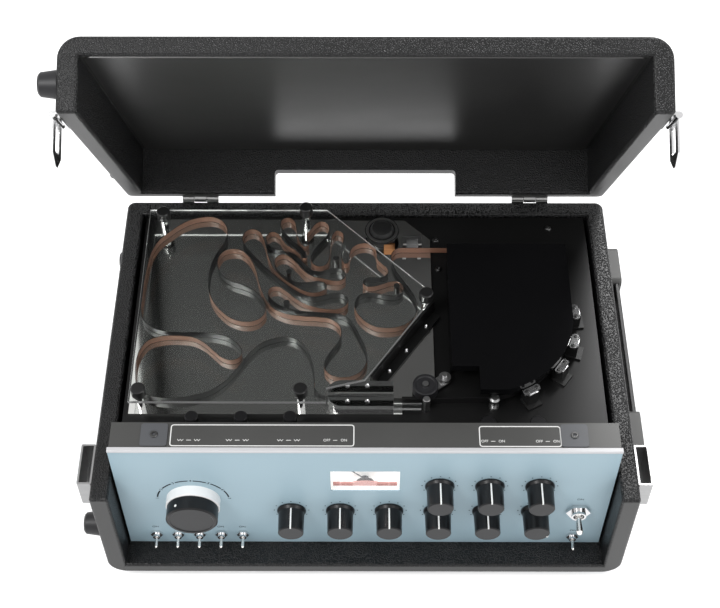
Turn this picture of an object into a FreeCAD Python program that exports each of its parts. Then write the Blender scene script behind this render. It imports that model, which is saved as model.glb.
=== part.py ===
"""Tape echo unit: a portable cabinet with an open tape deck, a front panel of controls and a hinged lid.

Cabinet coordinates are used below, in millimetres: x to the right, y back from the cabinet's front edge,
z up from the cabinet's underside. The finished solids are moved so that the origin is the bottom centre
of the whole object, with the lid standing open. Angles are in degrees.
"""
import FreeCAD
import Part
import cmath
import math
import os

from FreeCAD import Vector

X_AXIS = Vector(1, 0, 0)
Y_AXIS = Vector(0, 1, 0)
Z_AXIS = Vector(0, 0, 1)

# Cabinet
CABINET_WIDTH = 425.0
CABINET_DEPTH = 305.0
BASE_HEIGHT = 120.5
LID_HEIGHT = 55.0
WALL = 15.0
BOTTOM_BOARD = 12.0
LID_TOP = 14.0
LID_SEAM = 0.4
LONG_EDGE_R = 16.0
REAR_CORNER_R = 7.0
INNER_WIDTH = CABINET_WIDTH - 2 * WALL
RIM_EDGE_R = 2.5
LID_OPEN = 59.3
LID_NOTCH_WIDTH = 160.0
LID_NOTCH_DEPTH = 21.5
LID_NOTCH_R = 3.0

# Lid hinges
HINGE_SET_BACK = 4.0
HINGE_SPACING = 295.0
HINGE_WIDTH = 32.0
HINGE_LEAF_HEIGHT = 26.0
HINGE_LEAF = 1.5
KNUCKLE_R = 3.5
HINGE_PIN_R = 1.5
HINGE_PLAY = 0.05
KNUCKLE_GAP = 0.4

# Feet
FOOT_HEIGHT = 10.0
FOOT_R = 11.0
FOOT_TAPER = 1.5
FOOT_INSET = 30.0
SIDE_FOOT_R = 10.5
SIDE_FOOT_TIP_R = 8.75
SIDE_FOOT_LENGTH = 14.0
BASE_SIDE_FOOT_Y = 16.0
BASE_SIDE_FOOT_Z = 55.0
LID_SIDE_FOOT_Y = 12.0
LID_SIDE_FOOT_ABOVE_RIM = 23.5
FOOT_SCREW_R = 3.0
FOOT_SCREW_DEPTH = 4.0

# Carry handle on the right side
HANDLE_GAP = 3.0
HANDLE_LENGTH = 212.0
HANDLE_Z = 88.0
HANDLE_CAP_LENGTH = 40.0
HANDLE_CAP_HEIGHT = 32.0
HANDLE_CAP_DEPTH = 12.0
HANDLE_CAP_WALL = 2.0
HANDLE_CAP_R = 5.0
STRAP_WIDTH = 26.0
STRAP_THICKNESS = 3.8
STRAP_STAND_OFF = 5.8
STRAP_FIT = 0.2

# Side latches
LATCH_Y = 34.0
LATCH_PLATE = 1.5
LATCH_AXIS_OUT = 5.75
LATCH_AXIS_ABOVE_RIM = 3.5
LATCH_KNUCKLE_R = 2.6
LATCH_PIN_R = 1.0
LATCH_PLATE_WIDTH = 34.0
LATCH_PLATE_HEIGHT = 11.0
HASP_WIDTH = 27.0
HASP_TIP_WIDTH = 6.0
HASP_LENGTH = 34.0
HASP_SHOULDER = 26.0
HASP_SLOT_WIDTH = 12.0
HASP_SLOT_TOP = 6.0
HASP_SLOT_BOTTOM = 24.0
CATCH_CLEARANCE = 3.0
CATCH_DEPTH = 8.5
CATCH_TOP = 118.0
CATCH_HEIGHT = 30.0

# Front panel
PANEL_Y = 22.0
PANEL_THICKNESS = 3.0
PANEL_WIDTH = INNER_WIDTH - 2 * 2.0
PANEL_LIFT = 0.5
PANEL_TOP = 155.5
TRIM_HEIGHT = 3.0
SHAFT_R = 3.0
SHAFT_PLAY = 0.1
KNOB_STAND_OFF = 0.4

# Control strip behind the panel
STRIP_WIDTH = INNER_WIDTH - 2 * 3.0
STRIP_SHEET = 1.5
STRIP_REAR_Y = 47.5
STRIP_TOP = 157.5
STRIP_LIP = 10.0

# Deck
DECK_WIDTH = INNER_WIDTH - 2 * 3.5
DECK_REAR_Y = CABINET_DEPTH - WALL - 1.0
DECK_TOP_Z = 117.0
PLATE = 2.0
BIN_LEFT = 4.0 - DECK_WIDTH / 2
BIN_RIGHT = 57.0
BIN_FRONT = 80.0
BIN_STEP_X = 30.0
BIN_STEP_Y = 97.0
BIN_REAR = DECK_REAR_Y - 5.0
BIN_CHAMFER = 22.0
BIN_TOP_Z = DECK_TOP_Z + PLATE

# Clear cover of the tape bin
COVER_LIFT = 16.0
COVER_THICKNESS = 3.0
COVER_LEFT = BIN_LEFT + 2.0
COVER_REAR = BIN_REAR - 4.0
COVER_OUTLINE = [(COVER_LEFT, 79.6), (-31, 79.6), (-31, 93), (0, 101), (55, 182), (55, 190),
                 (-33, COVER_REAR), (COVER_LEFT, COVER_REAR)]
THUMB_SCREWS = [(COVER_LEFT + 12.6, COVER_REAR - 9.4), (-51.4, COVER_REAR - 4), (50.9, 182.5),
                (-51.2, 86.5), (COVER_LEFT + 8.4, 86.5)]
THUMB_HEAD_R = 5.75
THUMB_HEAD_HEIGHT = 9.0
THUMB_POST_R = 3.6
THUMB_SHANK_R = 2.4
THUMB_PLAY = 0.2

# Tape
TAPE_WIDTH = 6.35
TAPE_THICKNESS = 0.4
TAPE_LIFT = 0.3
TAPE_CLEARANCE = 0.3

# Transport
ROLLER_R = 10.3
ROLLER_XY = (48.8, 101.0)
ROLLER_TOP_Z = 131.0
CAPSTAN_R = 3.0
CAPSTAN_BEARING = 272.0
CAPSTAN_BELOW_DECK = 30.0
CAPSTAN_TOP_Z = 131.5
ARM_PIVOT_XY = (65.0, 113.0)
ARM_THICKNESS = 1.6
ARM_END_R = 5.0
AXLE_R = 2.5
AXLE_PLAY = 0.05
RUNNING_GAP = 0.4
GUIDE_ROLLER_XY = (14.8, 265.0)
GUIDE_ROLLER_R = 12.0
GUIDE_FLANGE_R = 15.0
GUIDE_ROLLER_TOP_Z = 133.0
GUIDE_POST_XY = (82.0, 243.3)
GUIDE_POST_R = 3.6
HEAD_ARC_XY = (93.0, 166.0)
HEAD_ARC_R = 74.0
HEAD_BEARINGS = [4.4, -16.8, -36.1, -60.5]
HEAD_WIDTH = 10.0
HEAD_DEPTH = 12.0
HEAD_TOP_Z = 132.0
HEAD_COVER_TOP_Z = 140.0

MOTOR_R = 30.0
MOTOR_HEIGHT = 52.0

parts = {}


def block(x0, x1, y0, y1, z0, z1):
    return Part.makeBox(x1 - x0, y1 - y0, z1 - z0, Vector(x0, y0, z0))


def edges_along(shape, axis):
    """The straight edges of a shape that run along an axis."""
    found = []
    for edge in shape.Edges:
        if len(edge.Vertexes) == 2:
            run = edge.Vertexes[1].Point.sub(edge.Vertexes[0].Point)
            if run.Length > 0 and run.cross(axis).Length < 1e-6 * run.Length:
                found.append(edge)
    return found


def rounded_block(x0, x1, y0, y1, z0, z1, radius, axis):
    solid = block(x0, x1, y0, y1, z0, z1)
    return solid.makeFillet(radius, edges_along(solid, axis))


def rod(radius, x, y, z0, z1):
    return Part.makeCylinder(radius, z1 - z0, Vector(x, y, z0))


def turned(profile, x=0.0, y=0.0, z=0.0):
    """A solid of revolution about an upright axis, from (radius, height) points."""
    points = [Vector(radius, 0, height) for radius, height in profile]
    face = Part.Face(Part.makePolygon(points + [points[0]]))
    solid = face.revolve(Vector(0, 0, 0), Z_AXIS, 360)
    solid.translate(Vector(x, y, z))
    return solid


def plate(points, z0, z1):
    wire = Part.makePolygon([Vector(x, y, z0) for x, y in points + [points[0]]])
    return Part.Face(wire).extrude(Vector(0, 0, z1 - z0))


def on_panel(solid, x, z):
    """Turns a solid that stands on the ground so that it stands out of the front panel."""
    placed = solid.copy()
    placed.rotate(Vector(0, 0, 0), X_AXIS, 90)
    placed.translate(Vector(x, PANEL_Y, z))
    return placed


def keep(name, *solids):
    parts[name] = list(solids)


# Cabinet: two open-fronted trays
def tray(height, floor):
    """A tray with its floor down, its front open, its long edges and rear corners rounded."""
    half = CABINET_WIDTH / 2
    bar = rounded_block(-half, half, 0, CABINET_DEPTH, 0, height + LONG_EDGE_R, LONG_EDGE_R, Y_AXIS)
    post = rounded_block(-half, half, -REAR_CORNER_R, CABINET_DEPTH, 0, height, REAR_CORNER_R, Z_AXIS)
    solid = bar.common(post)
    inner = half - WALL
    solid = solid.cut(block(-inner, inner, -1, CABINET_DEPTH - WALL, floor, height + 1))
    rim = []
    for edge in solid.Edges:
        box = edge.BoundBox
        if box.YMax < 1e-6 or box.ZMin > height - 1e-6:
            rim.append(edge)
    return solid.makeFillet(RIM_EDGE_R, rim)


HINGE_Y = CABINET_DEPTH + HINGE_SET_BACK
HINGE_Z = BASE_HEIGHT
LID_RIM_Z = BASE_HEIGHT + LID_SEAM
REAR_OPENING = (-120.0, 120.0, 35.0, 85.0)


def open_lid(solid):
    solid.rotate(Vector(0, HINGE_Y, HINGE_Z), X_AXIS, -LID_OPEN)
    return solid


def base_cabinet():
    x0, x1, z0, z1 = REAR_OPENING
    solid = tray(BASE_HEIGHT, BOTTOM_BOARD)
    return solid.cut(block(x0, x1, CABINET_DEPTH - WALL - 1, CABINET_DEPTH + 1, z0, z1))


def lid_shell():
    solid = tray(LID_HEIGHT - LID_SEAM, LID_TOP)
    solid = solid.mirror(Vector(0, 0, 0), Z_AXIS)
    solid.translate(Vector(0, 0, BASE_HEIGHT + LID_HEIGHT))
    half = LID_NOTCH_WIDTH / 2
    notch = rounded_block(-half, half, CABINET_DEPTH - WALL - 1, CABINET_DEPTH + 1,
                          LID_RIM_Z - LID_NOTCH_DEPTH, LID_RIM_Z + LID_NOTCH_DEPTH, LID_NOTCH_R, Y_AXIS)
    return open_lid(solid.cut(notch))


keep("base_cabinet", base_cabinet())
keep("lid_shell", lid_shell())


# Hinges: the base leaf carries the pin and two knuckles, the lid leaf the knuckle between them
KNUCKLE_LENGTH = HINGE_WIDTH / 3


def hinge_cylinder(radius, x0, x1):
    return Part.makeCylinder(radius, x1 - x0, Vector(x0, HINGE_Y, HINGE_Z), X_AXIS)


def hinge_leaf(x, side, knuckles):
    """A leaf on the rear wall, side -1 below the pin and 1 above it, with its knuckles."""
    half = HINGE_WIDTH / 2
    near = HINGE_Z + side * (KNUCKLE_R + KNUCKLE_GAP)
    far = HINGE_Z + side * HINGE_LEAF_HEIGHT
    low, high = sorted((near, far))
    leaf = block(x - half, x + half, CABINET_DEPTH, CABINET_DEPTH + HINGE_LEAF, low, high)
    for x0, x1 in knuckles:
        low, high = sorted((HINGE_Z, near))
        tab = block(x0, x1, CABINET_DEPTH, CABINET_DEPTH + HINGE_LEAF, low, high)
        leaf = leaf.fuse([tab, hinge_cylinder(KNUCKLE_R, x0, x1)])
    return leaf


def hinges():
    base_leaves = []
    lid_leaves = []
    for x in (-HINGE_SPACING / 2, HINGE_SPACING / 2):
        left = x - HINGE_WIDTH / 2
        right = x + HINGE_WIDTH / 2
        inner = (left + KNUCKLE_LENGTH, right - KNUCKLE_LENGTH)
        outer = [(left, inner[0] - KNUCKLE_GAP), (inner[1] + KNUCKLE_GAP, right)]
        base = hinge_leaf(x, -1, outer).fuse(hinge_cylinder(HINGE_PIN_R, left, right))
        lid = hinge_leaf(x, 1, [inner]).cut(hinge_cylinder(HINGE_PIN_R + HINGE_PLAY, left, right))
        base_leaves.append(base.removeSplitter())
        lid_leaves.append(open_lid(lid))
    return base_leaves, lid_leaves


base_leaves, lid_leaves = hinges()
keep("hinge_bases", *base_leaves)
keep("lid_hinge_leaves", *lid_leaves)


# Feet: four under the cabinet, four on the left side to stand it on end
def bottom_foot(x, y):
    profile = [(0, 0), (FOOT_R, 0), (FOOT_R - FOOT_TAPER, -FOOT_HEIGHT), (0, -FOOT_HEIGHT)]
    return turned(profile, x, y)


def side_foot(y, z):
    profile = [(0, 0), (SIDE_FOOT_R, 0), (SIDE_FOOT_TIP_R, SIDE_FOOT_LENGTH - 1.5),
               (SIDE_FOOT_TIP_R - 1.5, SIDE_FOOT_LENGTH), (FOOT_SCREW_R, SIDE_FOOT_LENGTH),
               (FOOT_SCREW_R, SIDE_FOOT_LENGTH - FOOT_SCREW_DEPTH), (0, SIDE_FOOT_LENGTH - FOOT_SCREW_DEPTH)]
    foot = turned(profile)
    foot.rotate(Vector(0, 0, 0), Y_AXIS, -90)
    foot.translate(Vector(-CABINET_WIDTH / 2, y, z))
    return foot


foot_x = CABINET_WIDTH / 2 - FOOT_INSET
bottom_feet = [bottom_foot(x, y) for x in (-foot_x, foot_x) for y in (FOOT_INSET, CABINET_DEPTH - FOOT_INSET)]
base_side_feet = [side_foot(y, BASE_SIDE_FOOT_Z) for y in (BASE_SIDE_FOOT_Y, CABINET_DEPTH - BASE_SIDE_FOOT_Y)]
lid_foot_z = BASE_HEIGHT + LID_SIDE_FOOT_ABOVE_RIM
lid_side_feet = [open_lid(side_foot(y, lid_foot_z)) for y in (LID_SIDE_FOOT_Y, CABINET_DEPTH - LID_SIDE_FOOT_Y)]
keep("rubber_feet", *(bottom_feet + base_side_feet))
keep("lid_feet", *lid_side_feet)


# Carry handle: a flat strap held by two end caps
def handle():
    wall_x = CABINET_WIDTH / 2
    z0 = HANDLE_Z - HANDLE_CAP_HEIGHT / 2
    z1 = HANDLE_Z + HANDLE_CAP_HEIGHT / 2
    front = LATCH_Y + HASP_WIDTH / 2 + CATCH_CLEARANCE + LATCH_PLATE + HANDLE_GAP
    rear = front + HANDLE_LENGTH
    strap_x = wall_x + STRAP_STAND_OFF
    strap_y0 = front + HANDLE_CAP_WALL
    strap_y1 = rear - HANDLE_CAP_WALL
    half = STRAP_WIDTH / 2
    strap = rounded_block(strap_x, strap_x + STRAP_THICKNESS, strap_y0, strap_y1,
                          HANDLE_Z - half, HANDLE_Z + half, 1.2, Y_AXIS)
    pocket = block(strap_x - STRAP_FIT, strap_x + STRAP_THICKNESS + STRAP_FIT, strap_y0, strap_y1,
                   HANDLE_Z - half - STRAP_FIT, HANDLE_Z + half + STRAP_FIT)
    caps = []
    for y0, y1 in ((front, front + HANDLE_CAP_LENGTH), (rear - HANDLE_CAP_LENGTH, rear)):
        cap = rounded_block(wall_x, wall_x + HANDLE_CAP_DEPTH, y0, y1, z0, z1, HANDLE_CAP_R, X_AXIS)
        outer = [edge for edge in cap.Edges if edge.BoundBox.XMin > wall_x + HANDLE_CAP_DEPTH - 1e-6]
        caps.append(cap.makeFillet(HANDLE_CAP_WALL / 2, outer).cut(pocket))
    return caps, strap


handle_caps, handle_strap = handle()
keep("handle_caps", *handle_caps)
keep("handle_strap", handle_strap)


# Side latches: plate and slotted hasp on the lid, open-topped catch on the base
LATCH_AXIS_X = CABINET_WIDTH / 2 + LATCH_AXIS_OUT
LATCH_AXIS_Z = LID_RIM_Z + LATCH_AXIS_ABOVE_RIM
LATCH_KNUCKLE = HASP_WIDTH / 2


def latch_cylinder(radius, y0, y1):
    return Part.makeCylinder(radius, y1 - y0, Vector(LATCH_AXIS_X, y0, LATCH_AXIS_Z), Y_AXIS)


def latch_plate():
    """Plate on the lid wall with two knuckles and the pin between them."""
    wall_x = CABINET_WIDTH / 2
    half = LATCH_PLATE_WIDTH / 2
    solid = block(wall_x, wall_x + LATCH_PLATE, LATCH_Y - half, LATCH_Y + half,
                  LID_RIM_Z + 1, LID_RIM_Z + 1 + LATCH_PLATE_HEIGHT)
    middle = LATCH_KNUCKLE / 2 + KNUCKLE_GAP
    for y0, y1 in ((LATCH_Y - half, LATCH_Y - middle), (LATCH_Y + middle, LATCH_Y + half)):
        arm = block(wall_x, LATCH_AXIS_X, y0, y1, LATCH_AXIS_Z, LATCH_AXIS_Z + LATCH_KNUCKLE_R)
        solid = solid.fuse([arm, latch_cylinder(LATCH_KNUCKLE_R, y0, y1)])
    return solid.fuse(latch_cylinder(LATCH_PIN_R, LATCH_Y - half, LATCH_Y + half))


def hasp():
    """Flat slotted tongue that hangs from the latch pin."""
    half = HASP_WIDTH / 2
    tip = HASP_TIP_WIDTH / 2
    top = LATCH_AXIS_Z - LATCH_KNUCKLE_R - KNUCKLE_GAP
    shoulder = LATCH_AXIS_Z - HASP_SHOULDER
    bottom = LATCH_AXIS_Z - HASP_LENGTH
    x0 = LATCH_AXIS_X - LATCH_PLATE / 2
    outline = [(-half, top), (-half, shoulder), (-tip, bottom), (tip, bottom), (half, shoulder), (half, top)]
    wire = Part.makePolygon([Vector(x0, LATCH_Y + y, z) for y, z in outline + [outline[0]]])
    tongue = Part.Face(wire).extrude(Vector(LATCH_PLATE, 0, 0))
    slot = rounded_block(x0 - 1, x0 + LATCH_PLATE + 1,
                         LATCH_Y - HASP_SLOT_WIDTH / 2, LATCH_Y + HASP_SLOT_WIDTH / 2,
                         LATCH_AXIS_Z - HASP_SLOT_BOTTOM, LATCH_AXIS_Z - HASP_SLOT_TOP, 2.0, X_AXIS)
    middle = LATCH_KNUCKLE / 2
    neck = block(x0, x0 + LATCH_PLATE, LATCH_Y - middle, LATCH_Y + middle, top, LATCH_AXIS_Z)
    knuckle = latch_cylinder(LATCH_KNUCKLE_R, LATCH_Y - middle, LATCH_Y + middle)
    solid = tongue.cut(slot).fuse([neck, knuckle])
    return solid.cut(latch_cylinder(LATCH_PIN_R + HINGE_PLAY, LATCH_Y - half, LATCH_Y + half))


def catch():
    """Open-topped pocket that the hasp drops into when the lid is shut."""
    wall_x = CABINET_WIDTH / 2
    half = HASP_WIDTH / 2 + CATCH_CLEARANCE
    outer = half + LATCH_PLATE
    depth = 2 * LATCH_PLATE + CATCH_DEPTH
    z0 = CATCH_TOP - CATCH_HEIGHT
    body = rounded_block(wall_x, wall_x + depth, LATCH_Y - outer, LATCH_Y + outer, z0, CATCH_TOP, 1.2, Z_AXIS)
    pocket = block(wall_x + LATCH_PLATE, wall_x + LATCH_PLATE + CATCH_DEPTH,
                   LATCH_Y - half, LATCH_Y + half, z0 + LATCH_PLATE, CATCH_TOP + 1)
    return body.cut(pocket)


def mirrored(solid):
    return solid.mirror(Vector(0, 0, 0), X_AXIS)


keep("latch_plates", open_lid(latch_plate()), open_lid(mirrored(latch_plate())))
keep("latch_hasp_right", open_lid(hasp()))
keep("latch_hasp_left", open_lid(mirrored(hasp())))
keep("latch_catches", catch(), mirrored(catch()))

# Chassis: a sheet-metal tray that carries the deck
CHASSIS_SHEET = 1.5
CHASSIS_SIDE_GAP = 2.5
CHASSIS_FRONT_GAP = 2.0
CHASSIS_REAR_GAP = 4.0
CHASSIS_FLANGE = 14.0
DECK_UNDER_Z = DECK_TOP_Z - PLATE


def chassis():
    half = CABINET_WIDTH / 2 - WALL - CHASSIS_SIDE_GAP
    y0 = PANEL_Y + PANEL_THICKNESS + CHASSIS_FRONT_GAP
    y1 = CABINET_DEPTH - WALL - CHASSIS_REAR_GAP
    sheet = CHASSIS_SHEET
    solid = block(-half, half, y0, y1, BOTTOM_BOARD, BOTTOM_BOARD + sheet)
    for side in (-1, 1):
        outer = side * half
        skin = outer - side * sheet
        lip = outer - side * CHASSIS_FLANGE
        x0, x1 = sorted((outer, skin))
        wall = block(x0, x1, y0, y1, BOTTOM_BOARD, DECK_UNDER_Z)
        x0, x1 = sorted((outer, lip))
        flange = block(x0, x1, STRIP_REAR_Y + 1, y1, DECK_UNDER_Z - sheet, DECK_UNDER_Z)
        solid = solid.fuse([wall, flange])
    return solid.removeSplitter()


keep("chassis", chassis())

# Places of the controls on the panel: x and height
SELECTOR_XZ = (-136.5, 84.0)
POT_PITCH = 39.3
POT_FIRST_X = -59.0
LOWER_ROW_Z = 66.5
UPPER_ROW_Z = 106.0
LOWER_ROW_COUNT = 6
UPPER_ROW_COUNT = 3
MODE_TOGGLE_X = -136.4
MODE_TOGGLE_PITCH = 17.85
MODE_TOGGLE_Z = 27.5
MODE_TOGGLE_COUNT = 5
POWER_TOGGLE_XZ = (172.0, 67.3)
SMALL_TOGGLE_XZ = (172.1, 24.9)
METER_X = 0.3
METER_WIDTH = 54.4
METER_Z0 = 97.4
METER_Z1 = 127.4

lower_row = [(POT_FIRST_X + POT_PITCH * i, LOWER_ROW_Z) for i in range(LOWER_ROW_COUNT)]
upper_row = [(x, UPPER_ROW_Z) for x, z in lower_row[-UPPER_ROW_COUNT:]]
pot_places = lower_row + upper_row
mode_places = [(MODE_TOGGLE_X + MODE_TOGGLE_PITCH * (i - 2), MODE_TOGGLE_Z) for i in range(MODE_TOGGLE_COUNT)]

MINI_BUSHING_R = 3.0
POWER_BUSHING_R = 6.0
HOLE_PLAY = 0.1


def front_panel():
    half = PANEL_WIDTH / 2
    sheet = block(-half, half, PANEL_Y, PANEL_Y + PANEL_THICKNESS, BOTTOM_BOARD + PANEL_LIFT, PANEL_TOP)
    trim = rounded_block(-half, half, PANEL_Y - 1, PANEL_Y + PANEL_THICKNESS,
                         PANEL_TOP, PANEL_TOP + TRIM_HEIGHT, 0.8, X_AXIS)
    solid = sheet.fuse(trim)
    holes = [(place, SHAFT_R) for place in [SELECTOR_XZ] + pot_places]
    holes += [(place, MINI_BUSHING_R) for place in mode_places + [SMALL_TOGGLE_XZ]]
    holes.append((POWER_TOGGLE_XZ, POWER_BUSHING_R))
    for (x, z), radius in holes:
        solid = solid.cut(on_panel(rod(radius + HOLE_PLAY, 0, 0, -2 * PANEL_THICKNESS, PANEL_THICKNESS), x, z))
    window = block(METER_X - METER_WIDTH / 2, METER_X + METER_WIDTH / 2,
                   PANEL_Y - 1, PANEL_Y + PANEL_THICKNESS + 1, METER_Z0, METER_Z1)
    return solid.cut(window)


keep("front_panel", front_panel())

# Knobs
SHAFT_BEHIND_PANEL = 8.0
POT_KNOB_PROFILE = [(0, 0), (11.6, 0), (11.6, 1.2), (10.5, 3.2), (10.2, 20.4), (9.4, 21.2), (0, 21.2)]
SELECTOR_R = 20.5
SELECTOR_HEIGHT = 20.0
SELECTOR_RING_R = 21.5
SELECTOR_RING_HEIGHT = 8.4
SELECTOR_FACE_R = 17.0


def panel_shaft():
    return rod(SHAFT_R, 0, 0, -PANEL_THICKNESS - SHAFT_BEHIND_PANEL, KNOB_STAND_OFF + 1)


def pot_knob():
    return turned(POT_KNOB_PROFILE, z=KNOB_STAND_OFF).fuse(panel_shaft())


def selector_knob():
    base = SELECTOR_RING_HEIGHT + KNOB_STAND_OFF
    top = KNOB_STAND_OFF + SELECTOR_HEIGHT
    profile = [(0, base), (SELECTOR_R, base), (SELECTOR_R, top - 1.2), (SELECTOR_R - 1.2, top),
               (SELECTOR_FACE_R + 0.6, top), (SELECTOR_FACE_R, top - 0.6), (0, top - 0.6)]
    return turned(profile).fuse(rod(SHAFT_R, 0, 0, -PANEL_THICKNESS - SHAFT_BEHIND_PANEL, base + 1))


def selector_ring():
    profile = [(SHAFT_R + 3, 0), (SELECTOR_RING_R, 0), (SELECTOR_RING_R, SELECTOR_RING_HEIGHT - 0.5),
               (SELECTOR_RING_R - 0.5, SELECTOR_RING_HEIGHT), (SHAFT_R + 3, SELECTOR_RING_HEIGHT)]
    return turned(profile)


for number, (x, z) in enumerate(pot_places, start=1):
    keep("pot_knob_%d" % number, on_panel(pot_knob(), x, z))
keep("selector_knob", on_panel(selector_knob(), *SELECTOR_XZ))
keep("selector_ring", on_panel(selector_ring(), *SELECTOR_XZ))

# Toggle switches: a fixed bushing with its nut, and a bat that rocks in it
TOGGLE_REST = 12.0
MINI_TOGGLE = {"bushing": MINI_BUSHING_R, "bore": 2.3, "nut": 4.5, "nut_height": 2.0, "out": 4.5,
               "pivot": 1.5, "ball": 2.0, "neck": 0.8, "tip": 1.35, "length": 11.5}
POWER_TOGGLE = {"bushing": POWER_BUSHING_R, "bore": 4.4, "nut": 8.6, "nut_height": 3.0, "out": 6.5,
                "pivot": 1.5, "ball": 4.0, "neck": 1.6, "tip": 2.9, "length": 19.5}


def hexagon(radius, z0, z1):
    """A six-sided prism, its radius measured to a flat."""
    corner = radius / math.cos(math.radians(30))
    points = []
    for i in range(6):
        angle = math.radians(60 * i)
        points.append((corner * math.cos(angle), corner * math.sin(angle)))
    return plate(points, z0, z1)


def bushing(kind, below):
    sleeve = rod(kind["bushing"], 0, 0, -below, kind["out"])
    nut = hexagon(kind["nut"], 0, kind["nut_height"])
    return sleeve.fuse(nut).cut(rod(kind["bore"], 0, 0, -below + 1, kind["out"] + 1))


def bat(kind):
    """The lever, upright, with its ball at the origin."""
    ball = Part.makeSphere(kind["ball"])
    length = kind["length"]
    tip = kind["tip"]
    lever = turned([(0, 0), (kind["neck"], 0), (tip, length - tip), (tip * 0.7, length - tip * 0.3), (0, length)])
    return ball.fuse(lever)


def panel_bat(kind, place):
    lever = bat(kind)
    lever.rotate(Vector(0, 0, 0), X_AXIS, TOGGLE_REST)
    lever.translate(Vector(0, 0, kind["pivot"]))
    return on_panel(lever, *place)


toggle_hardware = []
for number, place in enumerate(mode_places, start=1):
    keep("mode_toggle_%d" % number, panel_bat(MINI_TOGGLE, place))
    toggle_hardware.append(on_panel(bushing(MINI_TOGGLE, PANEL_THICKNESS + 5), *place))
keep("small_toggle", panel_bat(MINI_TOGGLE, SMALL_TOGGLE_XZ))
toggle_hardware.append(on_panel(bushing(MINI_TOGGLE, PANEL_THICKNESS + 5), *SMALL_TOGGLE_XZ))
keep("power_toggle", panel_bat(POWER_TOGGLE, POWER_TOGGLE_XZ))
toggle_hardware.append(on_panel(bushing(POWER_TOGGLE, PANEL_THICKNESS + 8), *POWER_TOGGLE_XZ))

# Meter: housing behind the panel, glass in the panel's window, needle on a pivot
METER_FRAME = 2.0
METER_DEPTH = 20.0
METER_CAVITY = 12.0
GLASS_THICKNESS = 2.0
GLASS_FIT = 0.2
NEEDLE_REST = 42.0
NEEDLE_PIVOT_R = 1.5
NEEDLE_PIVOT_PLAY = 0.08
NEEDLE_LENGTH = 21.5
meter_back = PANEL_Y + PANEL_THICKNESS
needle_y = meter_back + METER_CAVITY / 2
needle_pivot_z = METER_Z0 + METER_FRAME + 2.0


def meter_housing():
    x0 = METER_X - METER_WIDTH / 2
    x1 = METER_X + METER_WIDTH / 2
    solid = block(x0 - METER_FRAME, x1 + METER_FRAME, meter_back, meter_back + METER_DEPTH,
                  METER_Z0 - METER_FRAME, METER_Z1 + METER_FRAME)
    cavity = block(x0 + METER_FRAME, x1 - METER_FRAME, meter_back - 1, meter_back + METER_CAVITY,
                   METER_Z0 + METER_FRAME, METER_Z1 - METER_FRAME)
    axis = Part.makeCylinder(NEEDLE_PIVOT_R - NEEDLE_PIVOT_PLAY, METER_CAVITY,
                             Vector(METER_X, needle_y, needle_pivot_z + 1), Y_AXIS)
    return solid.cut(cavity).fuse(axis)


def meter_needle():
    hub_z = needle_pivot_z + 1
    hub = Part.makeCylinder(NEEDLE_PIVOT_R + 1.2, 2.0, Vector(METER_X, needle_y, hub_z), Y_AXIS)
    pointer = block(METER_X - 0.3, METER_X + 0.3, needle_y, needle_y + 0.8, hub_z, hub_z + NEEDLE_LENGTH)
    pointer.rotate(Vector(METER_X, needle_y, hub_z), Y_AXIS, -NEEDLE_REST)
    bore = Part.makeCylinder(NEEDLE_PIVOT_R, 4.0, Vector(METER_X, needle_y - 1, hub_z), Y_AXIS)
    return hub.fuse(pointer).cut(bore)


def meter_window():
    x0 = METER_X - METER_WIDTH / 2 + GLASS_FIT
    x1 = METER_X + METER_WIDTH / 2 - GLASS_FIT
    return block(x0, x1, meter_back - GLASS_THICKNESS, meter_back, METER_Z0 + GLASS_FIT, METER_Z1 - GLASS_FIT)


keep("meter_housing", meter_housing())
keep("meter_needle", meter_needle())
keep("meter_window", meter_window())

# Control strip: folded sheet over the controls behind the panel
STRIP_SCREWS = [(-160.8, 35.9), (159.7, 35.7)]
STRIP_SCREW_R = 1.5


def control_strip():
    half = STRIP_WIDTH / 2
    front = PANEL_Y + PANEL_THICKNESS
    under = STRIP_TOP - STRIP_SHEET
    top = block(-half, half, front, STRIP_REAR_Y, under, STRIP_TOP)
    lip = block(-half, half, front, front + STRIP_SHEET, STRIP_TOP - STRIP_LIP, STRIP_TOP)
    leg = block(-half, half, STRIP_REAR_Y - STRIP_SHEET, STRIP_REAR_Y, DECK_UNDER_Z, STRIP_TOP)
    solid = top.fuse([lip, leg])
    for x, y in STRIP_SCREWS:
        solid = solid.cut(rod(STRIP_SCREW_R + HOLE_PLAY, x, y, under - 1, STRIP_TOP + 1))
    return solid.removeSplitter()


keep("control_strip", control_strip())

# Small controls on the deck behind the strip
DECK_CONTROL_Y = 68.0
DECK_KNOB_XS = [-137.0, -98.0, -59.0]
DECK_KNOB_PROFILE = [(0, 0), (5.3, 0), (5.3, 16.8), (4.6, 17.6), (0, 17.6)]
DECK_TOGGLE_XY = (-22.0, 64.0)
SWITCH_KNOB_XS = [98.0, 137.5]
SWITCH_KNOB_PROFILE = [(0, 0), (6.5, 0), (6.5, 8.0), (5.8, 8.8), (0, 8.8)]


def deck_knob(profile, x):
    solid = turned(profile, z=DECK_TOP_Z + KNOB_STAND_OFF)
    solid = solid.fuse(rod(SHAFT_R, 0, 0, DECK_UNDER_Z - SHAFT_BEHIND_PANEL, DECK_TOP_Z + 1))
    solid.translate(Vector(x, DECK_CONTROL_Y, 0))
    return solid


for number, x in enumerate(DECK_KNOB_XS, start=1):
    keep("deck_knob_%d" % number, deck_knob(DECK_KNOB_PROFILE, x))
for name, x in zip(("record_switch", "erase_switch"), SWITCH_KNOB_XS):
    keep(name, deck_knob(SWITCH_KNOB_PROFILE, x))

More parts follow.
